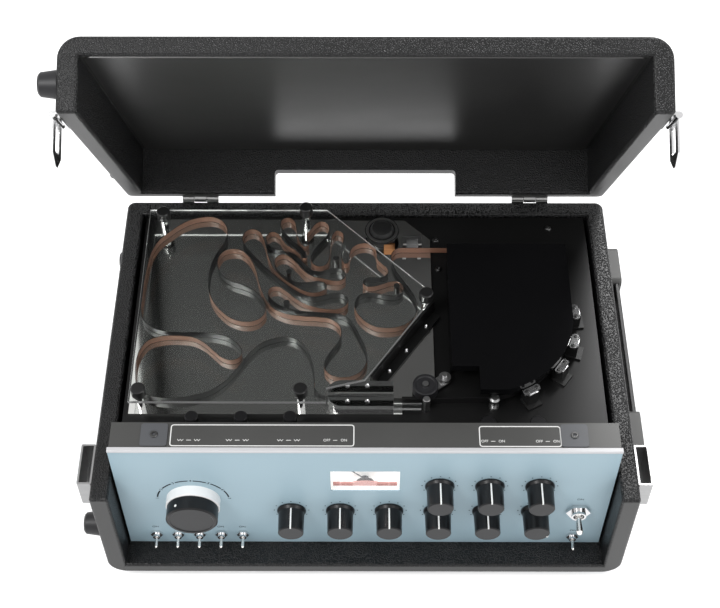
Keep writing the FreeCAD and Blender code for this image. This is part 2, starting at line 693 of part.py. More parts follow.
deck_bat = bat(MINI_TOGGLE)
deck_bat.rotate(Vector(0, 0, 0), Y_AXIS, -TOGGLE_REST)
deck_bat.translate(Vector(DECK_TOGGLE_XY[0], DECK_TOGGLE_XY[1], DECK_TOP_Z + MINI_TOGGLE["pivot"]))
keep("deck_toggle", deck_bat)
deck_bushing = bushing(MINI_TOGGLE, PLATE + 5)
deck_bushing.translate(Vector(DECK_TOGGLE_XY[0], DECK_TOGGLE_XY[1], DECK_TOP_Z))
toggle_hardware.append(deck_bushing)

# Capstan and pinch roller: the tape runs between them with a small gap on each side
nip = ROLLER_R + CAPSTAN_R + TAPE_THICKNESS + 2 * TAPE_CLEARANCE
CAPSTAN_XY = (ROLLER_XY[0] + nip * math.cos(math.radians(CAPSTAN_BEARING)),
              ROLLER_XY[1] + nip * math.sin(math.radians(CAPSTAN_BEARING)))
CAPSTAN_FOOT_Z = DECK_UNDER_Z - CAPSTAN_BELOW_DECK


def deck_plate():
    half = DECK_WIDTH / 2
    solid = block(-half, half, STRIP_REAR_Y, DECK_REAR_Y, DECK_UNDER_Z, DECK_TOP_Z)
    holes = [(x, DECK_CONTROL_Y, SHAFT_R + SHAFT_PLAY) for x in DECK_KNOB_XS + SWITCH_KNOB_XS]
    holes.append((DECK_TOGGLE_XY[0], DECK_TOGGLE_XY[1], MINI_BUSHING_R + HOLE_PLAY))
    holes.append((CAPSTAN_XY[0], CAPSTAN_XY[1], CAPSTAN_R + RUNNING_GAP))
    for x, y, radius in holes:
        solid = solid.cut(rod(radius, x, y, DECK_UNDER_Z - 1, DECK_TOP_Z + 1))
    return solid


keep("deck_plate", deck_plate())

# Tape bin: plate, pins, clear cover and its thumb screws
BIN_PINS = [(-25, 233), (-65, 218), (-66, 185), (27, 203)]
BIN_PIN_R = 2.6
BIN_PIN_HEIGHT = 9.0


def bin_plate():
    outline = [(BIN_LEFT, BIN_FRONT), (BIN_STEP_X, BIN_FRONT), (BIN_STEP_X, BIN_STEP_Y), (BIN_RIGHT, BIN_STEP_Y),
               (BIN_RIGHT, BIN_REAR - BIN_CHAMFER), (BIN_RIGHT - BIN_CHAMFER, BIN_REAR), (BIN_LEFT, BIN_REAR)]
    solid = plate(outline, DECK_TOP_Z, BIN_TOP_Z)
    for x, y in BIN_PINS:
        solid = solid.fuse(rod(BIN_PIN_R, x, y, BIN_TOP_Z, BIN_TOP_Z + BIN_PIN_HEIGHT))
    return solid


cover_z0 = BIN_TOP_Z + COVER_LIFT
cover_z1 = cover_z0 + COVER_THICKNESS


def bin_cover():
    solid = plate(COVER_OUTLINE, cover_z0, cover_z1)
    for x, y in THUMB_SCREWS:
        solid = solid.cut(rod(THUMB_SHANK_R + THUMB_PLAY, x, y, cover_z0 - 1, cover_z1 + 1))
    return solid


def thumb_screw(x, y):
    """Post under the cover, shank through it and knurled head on top."""
    top = cover_z1 + THUMB_HEAD_HEIGHT
    profile = [(0, BIN_TOP_Z), (THUMB_POST_R, BIN_TOP_Z), (THUMB_POST_R, cover_z0), (THUMB_SHANK_R, cover_z0),
               (THUMB_SHANK_R, cover_z1), (THUMB_HEAD_R, cover_z1), (THUMB_HEAD_R, top - 0.8),
               (THUMB_HEAD_R - 0.8, top), (0, top)]
    return turned(profile, x, y)


keep("bin_plate", bin_plate())
keep("bin_cover", bin_cover())
keep("thumb_screws", *[thumb_screw(x, y) for x, y in THUMB_SCREWS])

# The endless tape lies loose in the bin: points it passes on its way from the chute round to the gate
TAPE_COURSE = [
    (-31, 92.5), (-36.5, 94.2), (-40.3, 99.5), (-41, 108), (-41.8, 118), (-44.5, 130), (-50, 141.5),
    (-58, 149), (-65.4, 151), (-75.3, 148.9), (-86.2, 143.6), (-94.6, 134.5), (-103, 121), (-112, 108),
    (-123, 98.3), (-137.8, 92.6), (-148.2, 90.5), (-164.4, 90.5), (-176.6, 94), (-184, 102), (-186.5, 114),
    (-187, 128), (-184.5, 139), (-178.5, 147.3), (-168, 151.2), (-153.2, 151.8), (-142, 150),
    (-132.7, 144.7), (-124, 136.3), (-116.5, 129.5), (-108, 127.5), (-102.3, 131), (-101.5, 137.5),
    (-105.7, 144.2), (-113, 150.2), (-124.4, 154), (-138, 155.2), (-153.4, 155.4), (-166, 156.4),
    (-177, 160.5), (-184.8, 167.5), (-188, 178), (-188.4, 192), (-188.2, 210.3), (-187, 228.1),
    (-184.5, 243.1), (-179.5, 254.5), (-171.5, 263.5), (-162.5, 272), (-153, 278), (-142, 281),
    (-132.6, 280.6), (-125.8, 276.5), (-121.8, 270.2), (-120.4, 262.5), (-121.8, 253), (-125.8, 244.3),
    (-130.2, 235), (-133, 223), (-133.4, 209.4), (-132, 197.5), (-128, 187.5), (-121, 177.8),
    (-112.6, 170.3), (-104, 166.8), (-96, 166.3), (-89.3, 168.8), (-84.6, 174.3), (-83.6, 181),
    (-85.4, 188), (-89.8, 194.8), (-96, 200.8), (-104.5, 205.2), (-113, 208.4), (-120, 213.4),
    (-125, 220.5), (-127.2, 228.5), (-126.2, 236.5), (-122.2, 242.3), (-115.8, 244.6), (-108.5, 243.8),
    (-102.6, 239), (-97.2, 230.5), (-93.4, 220.5), (-90.4, 208), (-86.8, 197), (-82.6, 187.6), (-76.5, 180),
    (-67, 174.8), (-53, 172.2), (-39, 171.2), (-28, 168.8), (-21.6, 163), (-19.6, 155), (-21.8, 146),
    (-27.5, 137.2), (-32, 128.5), (-33, 120.5), (-29, 113.8), (-20.5, 110.6), (-10.5, 111.6), (-2.5, 117.5),
    (1.6, 126.5), (0.8, 138), (-3.4, 150), (-8.2, 161), (-13.2, 169.4), (-21, 174), (-33, 175.6),
    (-48, 176.8), (-61, 179), (-71.5, 183.3), (-79, 190), (-82.4, 196.5), (-80.4, 202), (-74.6, 203.4),
    (-67, 198.6), (-58.5, 190.6), (-49.5, 184.6), (-40, 181), (-30, 179.2), (-21.4, 180.2), (-15.8, 184.4),
    (-14.6, 190.4), (-18.6, 195.4), (-26.5, 196.4), (-36, 193.6), (-45.5, 192.6), (-54.5, 196.2),
    (-64, 203.2), (-73.6, 211.8), (-82.6, 221.4), (-91.6, 232), (-99.6, 242.4), (-104.6, 249.4),
    (-107, 257), (-104.8, 264), (-99, 267.2), (-92.8, 264.6), (-88.6, 256.6), (-85.6, 245), (-82.6, 233),
    (-78, 222.6), (-71, 213.6), (-62.5, 206), (-53.5, 199.8), (-45, 196.9), (-37.4, 198.2), (-33, 202.2),
    (-34, 207), (-39.6, 209.3), (-47.6, 208.3), (-55.5, 208), (-63.5, 210.8), (-70.6, 216.2), (-76, 223.2),
    (-78, 230.5), (-75.6, 236.6), (-70, 238.6), (-64, 235), (-57.8, 227.6), (-51.6, 219.8), (-44.4, 214.4),
    (-36, 212.2), (-27.6, 210), (-20.8, 210.4), (-17, 214.6), (-18, 220), (-23, 223.2), (-29.6, 222.6),
    (-36.4, 220.2), (-43.2, 220.4), (-49.4, 225), (-55.2, 232.2), (-61, 238.6), (-68, 242), (-75.4, 243.8),
    (-82.2, 247.6), (-86, 254), (-85.6, 260.4), (-81, 264), (-75.6, 261.4), (-71.6, 254.6), (-66.6, 247.8),
    (-60.6, 243.4), (-56.2, 238.6), (-53.8, 234.8), (-50.8, 235.2), (-51, 239.6), (-54.8, 245), (-60, 251),
    (-65.8, 257.6), (-71, 264.6), (-74.2, 271.6), (-73, 278), (-67.6, 280.6), (-62.4, 276.6),
    (-60.4, 268.6), (-59, 259.6), (-56, 251.8), (-52.8, 247.6), (-50, 248.6), (-50.4, 254.6),
    (-50.8, 261.4), (-47.2, 267.4), (-43.6, 272.8), (-38.4, 276), (-33, 273.2), (-31.2, 266.6),
    (-33.4, 259.6), (-37.8, 253.2), (-42.4, 246.8), (-45.8, 239.8), (-46.4, 232.6), (-43.4, 227),
    (-38, 225.4), (-33, 228.4), (-31, 234.6), (-30.6, 243), (-29.8, 252), (-28.4, 260.6), (-24.6, 265.4),
    (-20, 263.2), (-18.6, 256.6), (-19.4, 248.6), (-20, 240), (-19.2, 231.6), (-16.2, 228.4), (-13.8, 232),
    (-13.6, 239), (-11, 246), (-5, 250.6), (2, 251.2), (8, 247.6), (10, 241), (10.8, 233.6), (14.6, 228.4),
    (19, 223.4), (19.2, 217.4), (14.6, 213.8), (7.6, 213.4), (1.4, 212.4), (-1.6, 208.4), (0.6, 204.4),
    (7, 203.8), (14.4, 206), (22, 209), (28.8, 208.6), (32.4, 203.6), (31.4, 197.4), (26, 194), (18, 194.2),
    (9.4, 196.4), (1, 196.8), (-5.6, 193.4), (-8.6, 186.4), (-7.6, 178.4), (-3.4, 171), (2.6, 164.8),
    (10, 161), (19, 160), (28, 161.4), (36, 165.6), (41.6, 172.6), (44, 181), (43, 190), (39.4, 198.6),
    (34.4, 207.4), (29, 216), (24.8, 225), (22.6, 234), (23.4, 241.4), (27.4, 246), (33, 247.2),
]
ROLLER_BEND = ROLLER_R + TAPE_CLEARANCE + TAPE_THICKNESS / 2
# What it bends round outside the bin, as x, y, radius and turn (1 to the left, -1 to the right)
TRANSPORT_BENDS = [
    (GUIDE_POST_XY[0], GUIDE_POST_XY[1], GUIDE_POST_R + TAPE_CLEARANCE, -1),
    (HEAD_ARC_XY[0], HEAD_ARC_XY[1], HEAD_ARC_R, -1),
    (ROLLER_XY[0], ROLLER_XY[1], ROLLER_BEND, -1),
]


def heading_between(first, second):
    """Direction of the straight run from one bend to the next, as a complex number of length 1."""
    x1, y1, r1, turn1 = first
    x2, y2, r2, turn2 = second
    distance = math.hypot(x2 - x1, y2 - y1)
    return cmath.rect(1, math.atan2(y2 - y1, x2 - x1) + math.asin((turn1 * r1 - turn2 * r2) / distance))


def arc_to(start, heading, end):
    """Start, middle and end of an arc that leaves along a heading, each with its own heading."""
    chord = end - start
    along = chord / abs(chord)
    turn = 2 * cmath.phase(along / heading)
    middle = (start + end) / 2 - 1j * chord / 2 * math.tan(turn / 4)
    return [(start, heading), (middle, along), (end, along * along / heading)]


def two_arcs(start, heading, end, last_heading):
    """Two smooth arcs from one point and heading to the next point and heading."""
    chord = end - start
    forward = (chord * (heading + last_heading).conjugate()).real
    spread = 2 - 2 * (heading * last_heading.conjugate()).real
    if spread < 1e-9:
        reach = abs(chord) ** 2 / (2 * forward)
    else:
        reach = (math.sqrt(forward ** 2 + spread * abs(chord) ** 2) - forward) / spread
    first = arc_to(start, heading, (start + end + reach * (heading - last_heading)) / 2)
    joint, joint_heading = first[-1]
    return [first, arc_to(joint, joint_heading, end)]


def tape_arcs():
    """The centre line of the tape as arcs; straight runs join those that don't touch."""
    points = [complex(x, y) for x, y in TAPE_COURSE]
    out_of_bin = (points[-1].real, points[-1].imag, 0, 1)
    into_bin = (points[0].real, points[0].imag, 0, 1)
    bends = [out_of_bin] + TRANSPORT_BENDS + [into_bin]
    runs = [heading_between(first, second) for first, second in zip(bends, bends[1:])]
    headings = [runs[-1]]
    for before, here, after in zip(points, points[1:], points[2:]):
        ratio = abs(after - here) / abs(here - before)
        heading = (here - before) * ratio + (after - here) / ratio
        headings.append(heading / abs(heading))
    headings.append(runs[0])
    arcs = []
    for i in range(len(points) - 1):
        arcs += two_arcs(points[i], headings[i], points[i + 1], headings[i + 1])
    for (x, y, radius, turn), before, after in zip(TRANSPORT_BENDS, runs, runs[1:]):
        start, end = [complex(x, y) - 1j * heading * radius * turn for heading in (before, after)]
        arcs.append(arc_to(start, before, end))
    return arcs


def tape_edge(offset):
    """One closed edge of the tape, offset to the left of its centre line."""
    moved = []
    for arc in tape_arcs():
        places = [point + 1j * heading * offset for point, heading in arc]
        moved.append([Vector(place.real, place.imag, 0) for place in places])
    edges = []
    for arc, following in zip(moved, moved[1:] + moved[:1]):
        start, middle, end = arc
        sag = middle.sub(start.add(end).multiply(0.5)).Length
        edges.append(Part.Arc(start, middle, end).toShape() if sag > 1e-4 else Part.makeLine(start, end))
        if end.distanceToPoint(following[0]) > 1e-4:
            edges.append(Part.makeLine(end, following[0]))
    return Part.Wire(edges)


def tape_loop():
    faces = [Part.Face(tape_edge(offset)) for offset in (-TAPE_THICKNESS / 2, TAPE_THICKNESS / 2)]
    faces.sort(key=lambda face: face.Area)
    ring = faces[1].cut(faces[0])
    ring.translate(Vector(0, 0, BIN_TOP_Z + TAPE_LIFT))
    return ring.extrude(Vector(0, 0, TAPE_WIDTH)).Solids[0]


keep("tape_loop", tape_loop())

# Transport pieces that turn
AXLE_HEAD_GAP = 0.3


def pinch_arm():
    """Flat arm on its pivot post, with the roller's axle."""
    x0, y0 = ARM_PIVOT_XY
    x1, y1 = ROLLER_XY
    z0 = BIN_TOP_Z + RUNNING_GAP
    z1 = z0 + ARM_THICKNESS
    length = math.hypot(x1 - x0, y1 - y0)
    bar = block(0, length, -ARM_END_R, ARM_END_R, z0, z1)
    bar = bar.fuse([rod(ARM_END_R, 0, 0, z0, z1 + 3), rod(ARM_END_R, length, 0, z0, z1)])
    bar.rotate(Vector(0, 0, 0), Z_AXIS, math.degrees(math.atan2(y1 - y0, x1 - x0)))
    bar.translate(Vector(x0, y0, 0))
    axle = rod(AXLE_R, x1, y1, z0, ROLLER_TOP_Z + AXLE_HEAD_GAP + 1)
    return bar.fuse(axle).cut(rod(AXLE_R + AXLE_PLAY, x0, y0, z0 - 1, z1 + 4))


def pinch_roller():
    z0 = BIN_TOP_Z + RUNNING_GAP + ARM_THICKNESS + AXLE_HEAD_GAP
    bore = AXLE_R + AXLE_PLAY
    profile = [(bore, z0), (ROLLER_R - 0.6, z0), (ROLLER_R, z0 + 0.6), (ROLLER_R, ROLLER_TOP_Z - 0.6),
               (ROLLER_R - 0.6, ROLLER_TOP_Z), (ROLLER_R - 2.2, ROLLER_TOP_Z), (ROLLER_R - 3, ROLLER_TOP_Z - 0.8),
               (bore + 1.2, ROLLER_TOP_Z - 0.8), (bore, ROLLER_TOP_Z - 0.8)]
    return turned(profile, ROLLER_XY[0], ROLLER_XY[1])


def guide_roller():
    z0 = BIN_TOP_Z + RUNNING_GAP
    flange = BIN_TOP_Z + TAPE_LIFT + TAPE_WIDTH + RUNNING_GAP
    bore = AXLE_R + AXLE_PLAY
    profile = [(bore, z0), (GUIDE_ROLLER_R, z0), (GUIDE_ROLLER_R, flange), (GUIDE_FLANGE_R, flange + 0.4),
               (GUIDE_FLANGE_R, flange + 1.8), (GUIDE_FLANGE_R - 1.5, flange + 2.2), (10.6, flange + 2.2),
               (10.2, flange + 3.6), (8.6, GUIDE_ROLLER_TOP_Z - 1.0), (6.0, GUIDE_ROLLER_TOP_Z - 0.2),
               (0, GUIDE_ROLLER_TOP_Z), (0, GUIDE_ROLLER_TOP_Z - 2.5), (bore, GUIDE_ROLLER_TOP_Z - 2.5)]
    return turned(profile, GUIDE_ROLLER_XY[0], GUIDE_ROLLER_XY[1])


def capstan():
    profile = [(0, CAPSTAN_FOOT_Z), (CAPSTAN_R, CAPSTAN_FOOT_Z), (CAPSTAN_R, CAPSTAN_TOP_Z - 0.5),
               (CAPSTAN_R - 0.5, CAPSTAN_TOP_Z), (0, CAPSTAN_TOP_Z)]
    return turned(profile, CAPSTAN_XY[0], CAPSTAN_XY[1])


keep("pinch_arm", pinch_arm())
keep("pinch_roller", pinch_roller())
keep("guide_roller", guide_roller())
keep("capstan", capstan())


# Motor under the deck, its bearing bored for the capstan shaft
def motor():
    x, y = CAPSTAN_XY
    foot = CAPSTAN_FOOT_Z - 2
    body = rod(MOTOR_R, x, y, DECK_UNDER_Z - 4 - MOTOR_HEIGHT, DECK_UNDER_Z - 4)
    boss = rod(8.0, x, y, DECK_UNDER_Z - 4, DECK_UNDER_Z)
    ears = block(x - MOTOR_R - 8, x + MOTOR_R + 8, y - 8, y + 8, DECK_UNDER_Z - 4, DECK_UNDER_Z)
    solid = body.fuse([boss, ears])
    return solid.cut(rod(CAPSTAN_R + AXLE_PLAY, x, y, foot, DECK_UNDER_Z + 1))


keep("motor", motor())

# Fixed guides of the transport
TAPE_TOP_Z = BIN_TOP_Z + TAPE_LIFT + TAPE_WIDTH
EXIT_GUIDE_XY = (104.0, 89.0)
EXIT_GUIDE_R = 2.5
GATE_X = (16.5, 26.0)
GATE_Y = (250.6, 252.4)
CLIP_X = (33.0, 49.0)
CLIP_Y = (248.6, 257.0)
BAR_X = (8.0, 45.0)
BAR_Y = (80.0, 85.0)
BAR_Z = (125.0, 128.0)


def flanged_post(x, y, radius):
    """Post with a collar above and below the tape."""
    low = BIN_TOP_Z + TAPE_LIFT - 0.5
    profile = [(0, DECK_TOP_Z), (radius + 1.6, DECK_TOP_Z), (radius + 1.6, low), (radius, low),
               (radius, TAPE_TOP_Z + 0.5), (radius + 1.6, TAPE_TOP_Z + 0.5), (radius + 1.6, TAPE_TOP_Z + 3),
               (radius, TAPE_TOP_Z + 3.8), (0, TAPE_TOP_Z + 3.8)]
    return turned(profile, x, y)


def plain_post(x, y, radius, z0, z1):
    return turned([(0, z0), (radius, z0), (radius, z1 - 0.4), (radius - 0.4, z1), (0, z1)], x, y)


def u_clip():
    outer = block(CLIP_X[0], CLIP_X[1], CLIP_Y[0], CLIP_Y[1], BIN_TOP_Z, TAPE_TOP_Z + 4)
    inner = block(CLIP_X[0] + 3, CLIP_X[1] - 3, CLIP_Y[0] - 1, CLIP_Y[1] - 2, BIN_TOP_Z + 2, TAPE_TOP_Z + 5)
    return outer.cut(inner)


guides = [
    flanged_post(GUIDE_POST_XY[0], GUIDE_POST_XY[1], GUIDE_POST_R),
    flanged_post(EXIT_GUIDE_XY[0], EXIT_GUIDE_XY[1], EXIT_GUIDE_R),
    plain_post(ARM_PIVOT_XY[0], ARM_PIVOT_XY[1], AXLE_R, DECK_TOP_Z, BIN_TOP_Z + 8),
    plain_post(GUIDE_ROLLER_XY[0], GUIDE_ROLLER_XY[1], AXLE_R, BIN_TOP_Z, GUIDE_ROLLER_TOP_Z - 3),
    block(GATE_X[0], GATE_X[1], GATE_Y[0], GATE_Y[1], BIN_TOP_Z, TAPE_TOP_Z + 0.2),
    u_clip(),
]
keep("guide_posts", *guides)

# Chute that leads the tape back into the bin
CHUTE_X = (-30.0, 23.0)
CHUTE_Y = (80.0, 104.0)
CHUTE_HEIGHT = 12.0
CHUTE_R = 11.5
CHANNEL_Y = (90.2, 94.8)
CHANNEL_CLEARANCE = 1.5


def tape_chute():
    z1 = BIN_TOP_Z + CHUTE_HEIGHT
    solid = block(CHUTE_X[0], CHUTE_X[1], CHUTE_Y[0], CHUTE_Y[1], BIN_TOP_Z, z1)
    left = [edge for edge in edges_along(solid, Z_AXIS) if edge.BoundBox.XMax < CHUTE_X[0] + 1]
    solid = solid.makeFillet(CHUTE_R, left)
    channel = block(CHUTE_X[0] - 1, CHUTE_X[1] + 1, CHANNEL_Y[0], CHANNEL_Y[1],
                    BIN_TOP_Z - 1, TAPE_TOP_Z + CHANNEL_CLEARANCE)
    bar = block(CHUTE_X[1], BAR_X[1], BAR_Y[0], BAR_Y[1], BAR_Z[0], BAR_Z[1])
    return solid.cut(channel), bar


chute, chute_bar = tape_chute()
keep("tape_chute", chute, chute_bar)

# Fence along the cut corner of the cover
FENCE_START = (4.0, 107.0)
FENCE_END = (57.0, 185.0)
FENCE_WALL = 2.0
FENCE_FOOT = 10.0
FENCE_FOOT_HEIGHT = 2.0


def tape_fence():
    """Upright strip with a foot that is screwed to the bin plate."""
    run = math.hypot(FENCE_END[0] - FENCE_START[0], FENCE_END[1] - FENCE_START[1])
    angle = math.degrees(math.atan2(FENCE_END[1] - FENCE_START[1], FENCE_END[0] - FENCE_START[0]))
    strip = block(0, run, -FENCE_WALL, 0, BIN_TOP_Z, cover_z0 - 1)
    foot = block(8, run - 4, -FENCE_FOOT, 0, BIN_TOP_Z, BIN_TOP_Z + FENCE_FOOT_HEIGHT)
    solid = strip.fuse(foot)
    solid.rotate(Vector(0, 0, 0), Z_AXIS, angle)
    solid.translate(Vector(FENCE_START[0], FENCE_START[1], 0))
    return solid


keep("tape_fence", tape_fence())

# Heads on their arc, and the cover over them
HEAD_GAP = 0.3
HEAD_COVER_SHEET = 1.5
HEAD_COVER_LIP_Z = 133.0
HEAD_COVER_LEFT = 70.0
HEAD_COVER_REAR = 240.0
HEAD_COVER_FRONT = 112.6
HEAD_COVER_STEP_X = 92.0
HEAD_COVER_SIDE_INSET = 8.0


def tape_head(bearing):
    """Head block with its face to the tape, on a foot that stands on the deck."""
    r0 = HEAD_ARC_R + TAPE_THICKNESS / 2 + HEAD_GAP
    half = HEAD_WIDTH / 2
    body = block(r0, r0 + HEAD_DEPTH, -half, half, BIN_TOP_Z, HEAD_TOP_Z)
    front = [edge for edge in edges_along(body, Z_AXIS) if edge.BoundBox.XMax < r0 + 1]
    body = body.makeFillet(3.0, front)
    foot = block(r0 + 3, r0 + HEAD_DEPTH + 4, -half - 1.5, half + 1.5, DECK_TOP_Z, BIN_TOP_Z)
    solid = body.fuse(foot)
    solid.rotate(Vector(0, 0, 0), Z_AXIS, bearing)
    solid.translate(Vector(HEAD_ARC_XY[0], HEAD_ARC_XY[1], 0))
    return solid


def head_cover_outline(inset):
    """The cover's edge, drawn in by an inset."""
    radius = HEAD_ARC_R + 5 - inset
    cx, cy = HEAD_ARC_XY
    arc = []
    for bearing in (5, -35, -74):
        angle = math.radians(bearing)
        arc.append(Vector(cx + radius * math.cos(angle), cy + radius * math.sin(angle), 0))
    corners = [Vector(HEAD_COVER_STEP_X + inset, arc[2].y, 0),
               Vector(HEAD_COVER_STEP_X + inset, HEAD_COVER_FRONT + inset, 0),
               Vector(HEAD_COVER_LEFT + inset, HEAD_COVER_FRONT + inset, 0),
               Vector(HEAD_COVER_LEFT + inset, HEAD_COVER_REAR - inset, 0),
               Vector(arc[0].x, HEAD_COVER_REAR - inset, 0)]
    points = [arc[2]] + corners + [arc[0]]
    edges = [Part.Arc(arc[0], arc[1], arc[2]).toShape()]
    for start, end in zip(points, points[1:]):
        edges.append(Part.makeLine(start, end))
    return Part.Face(Part.Wire(edges))


def head_cover():
    """Folded sheet: a top with a lip all round, and a side that reaches down to the deck."""
    outer = head_cover_outline(0)
    inner = head_cover_outline(HEAD_COVER_SHEET)
    under = HEAD_COVER_TOP_Z - HEAD_COVER_SHEET
    top = outer.extrude(Vector(0, 0, HEAD_COVER_TOP_Z - HEAD_COVER_LIP_Z))
    hollow = inner.extrude(Vector(0, 0, under - HEAD_COVER_LIP_Z))
    solid = top.cut(hollow)
    solid.translate(Vector(0, 0, HEAD_COVER_LIP_Z))
    side = block(HEAD_COVER_LEFT, HEAD_COVER_LEFT + HEAD_COVER_SHEET, HEAD_COVER_FRONT + HEAD_COVER_SIDE_INSET,
                 HEAD_COVER_REAR - HEAD_COVER_SIDE_INSET, DECK_TOP_Z, HEAD_COVER_LIP_Z + 1)
    return solid.fuse(side)


keep("tape_heads", *[tape_head(bearing) for bearing in HEAD_BEARINGS])
keep("head_cover", head_cover())

# Rear: steel panel behind an opening in the rear wall, with jacks and a mains inlet
REAR_PANEL_MARGIN = 8.0
REAR_SHEET = 1.5
JACK_XS = [-95.0, -70.0, -45.0, -20.0, 5.0, 30.0]
JACK_Z = 60.0
JACK_BORE_R = 3.25
JACK_DEPTH = 32.0
JACK_R = 6.0
JACK_NUT_R = 7.5
INLET_X = 85.0
INLET_SIZE = (28.0, 20.0)
INLET_DEPTH = 24.0


def rear_panel():
    x0, x1, z0, z1 = REAR_OPENING
    y1 = CABINET_DEPTH - WALL
    margin = REAR_PANEL_MARGIN
    solid = block(x0 - margin, x1 + margin, y1 - REAR_SHEET, y1, z0 - margin, z1 + margin)
    for x in JACK_XS:
        solid = solid.cut(Part.makeCylinder(JACK_R + HOLE_PLAY, 4, Vector(x, y1 - 3, JACK_Z), Y_AXIS))
    width, height = INLET_SIZE
    cut = block(INLET_X - width / 2 - HOLE_PLAY, INLET_X + width / 2 + HOLE_PLAY, y1 - 3, y1 + 1,
                JACK_Z - height / 2 - HOLE_PLAY, JACK_Z + height / 2 + HOLE_PLAY)
    return solid.cut(cut)


def jack(x):
    y1 = CABINET_DEPTH - WALL
    sleeve = Part.makeCylinder(JACK_R, JACK_DEPTH + 4, Vector(x, y1 - JACK_DEPTH, JACK_Z), Y_AXIS)
    nut = hexagon(JACK_NUT_R, 0, 2.5)
    nut.rotate(Vector(0, 0, 0), X_AXIS, -90)
    nut.translate(Vector(x, y1, JACK_Z))
    bore = Part.makeCylinder(JACK_BORE_R, JACK_DEPTH, Vector(x, y1 + 4 - JACK_DEPTH, JACK_Z), Y_AXIS)
    return sleeve.fuse(nut).cut(bore)


def mains_inlet():
    """Shrouded inlet with a hollow for the plug and its three blades."""
    y1 = CABINET_DEPTH - WALL
    width, height = INLET_SIZE
    body = block(INLET_X - width / 2, INLET_X + width / 2, y1 - INLET_DEPTH, y1,
                 JACK_Z - height / 2, JACK_Z + height / 2)
    flange = rounded_block(INLET_X - width / 2 - 8, INLET_X + width / 2 + 8, y1, y1 + 3,
                           JACK_Z - height / 2 - 3, JACK_Z + height / 2 + 3, 3.0, Y_AXIS)
    hollow = block(INLET_X - width / 2 + 2, INLET_X + width / 2 - 2, y1 - INLET_DEPTH + 6, y1 + 4,
                   JACK_Z - height / 2 + 2, JACK_Z + height / 2 - 2)
    solid = body.fuse(flange).cut(hollow)
    for dx, dz in ((-7, -2), (0, 2), (7, -2)):
        blade = block(INLET_X + dx - 1, INLET_X + dx + 1, y1 - INLET_DEPTH + 5, y1 - 2, JACK_Z + dz - 2, JACK_Z + dz + 2)
        solid = solid.fuse(blade)
    return solid


keep("rear_panel", rear_panel())
keep("rear_connectors", *([jack(x) for x in JACK_XS] + [mains_inlet()]))

# Screws
SCREW_HEAD_HEIGHT = 2.2


def cap_screw(x, y, z, radius, length):
    """Socket head screw, its head on z and its shank below."""
    profile = [(0, -length), (radius, -length), (radius, 0), (2 * radius, 0), (2 * radius, SCREW_HEAD_HEIGHT - 0.4),
               (2 * radius - 0.4, SCREW_HEAD_HEIGHT), (0.9 * radius, SCREW_HEAD_HEIGHT),
               (0.9 * radius, SCREW_HEAD_HEIGHT - 1.2), (0, SCREW_HEAD_HEIGHT - 1.2)]
    return turned(profile, x, y, z)


def deck_screws():
    screws = []
    for x, y in STRIP_SCREWS:
        screws.append(cap_screw(x, y, STRIP_TOP, STRIP_SCREW_R, 5))
    return screws


keep("machine_screws", *(deck_screws() + toggle_hardware))


def save_all():
    """Writes each part with the origin at the bottom centre of the open object."""
    everything = FreeCAD.BoundBox()
    for solids in parts.values():
        for solid in solids:
            everything.add(solid.BoundBox)
    shift = Vector(0, -everything.YMax / 2, FOOT_HEIGHT)
    os.makedirs("parts", exist_ok=True)
    for name, solids in parts.items():
        shape = solids[0].copy() if len(solids) == 1 else Part.makeCompound([solid.copy() for solid in solids])
        shape.translate(shift)
        if len(shape.Solids) != len(solids) or not shape.isValid():
            print("check", name, len(shape.Solids), shape.isValid())
        shape.exportStep(os.path.join("parts", name + ".step"))
    print(len(parts), "parts; shift", [round(value, 3) for value in shift])
    print("extents", [round(value, 1) for value in (everything.XMin, everything.XMax, everything.YMin,
                                                    everything.YMax, everything.ZMin, everything.ZMax)])


save_all()
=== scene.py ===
# %% [markdown]
# This script dresses a tape echo unit: a portable black cabinet with its lid standing open, a pale blue
# control panel, and a tape deck with a long loop of tape lying in a mirror-bright bin.
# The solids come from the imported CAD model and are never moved. The script gives each of them a finish,
# and adds what is too thin or too fine for the CAD: printing, pointers, screws and the meter's dial.

# %% Load the frame
import math

import bmesh
import bpy
from mathutils import Matrix, Vector


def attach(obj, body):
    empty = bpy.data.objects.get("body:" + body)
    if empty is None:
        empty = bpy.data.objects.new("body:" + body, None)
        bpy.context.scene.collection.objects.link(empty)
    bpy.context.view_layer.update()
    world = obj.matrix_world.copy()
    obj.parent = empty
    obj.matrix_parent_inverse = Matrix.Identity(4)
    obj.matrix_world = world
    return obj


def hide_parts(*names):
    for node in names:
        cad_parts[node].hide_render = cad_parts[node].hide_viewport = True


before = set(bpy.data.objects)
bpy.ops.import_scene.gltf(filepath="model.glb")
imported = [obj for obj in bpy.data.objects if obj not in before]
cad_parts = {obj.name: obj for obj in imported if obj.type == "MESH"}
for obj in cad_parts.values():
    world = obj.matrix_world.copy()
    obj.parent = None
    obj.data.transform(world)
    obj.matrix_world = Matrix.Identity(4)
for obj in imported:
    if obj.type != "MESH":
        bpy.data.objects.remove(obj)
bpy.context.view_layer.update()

# %% [markdown]
# New pieces are easiest to place in the cabinet's own millimetres: x to the right, y back from the front
# edge, z up from the underside. One matrix at the end takes a finished mesh into the frame, in metres.
# Things on the front panel are drawn flat, with x to the right, y up and z out of the panel, and a second
# matrix stands them up. A third one opens the lid by the angle at which the CAD holds it.

# %% Matrices
TO_FRAME = Matrix.Scale(0.001, 4) @ Matrix.Translation((0, -177.125, 10))
PANEL_FACE_Y = 22.0
LID_HINGE = Vector((0, 309, 120.5))
LID_ANGLE = math.radians(-59.3)
OPEN_LID = Matrix.Translation(LID_HINGE) @ Matrix.Rotation(LID_ANGLE, 4, "X") @ Matrix.Translation(-LID_HINGE)


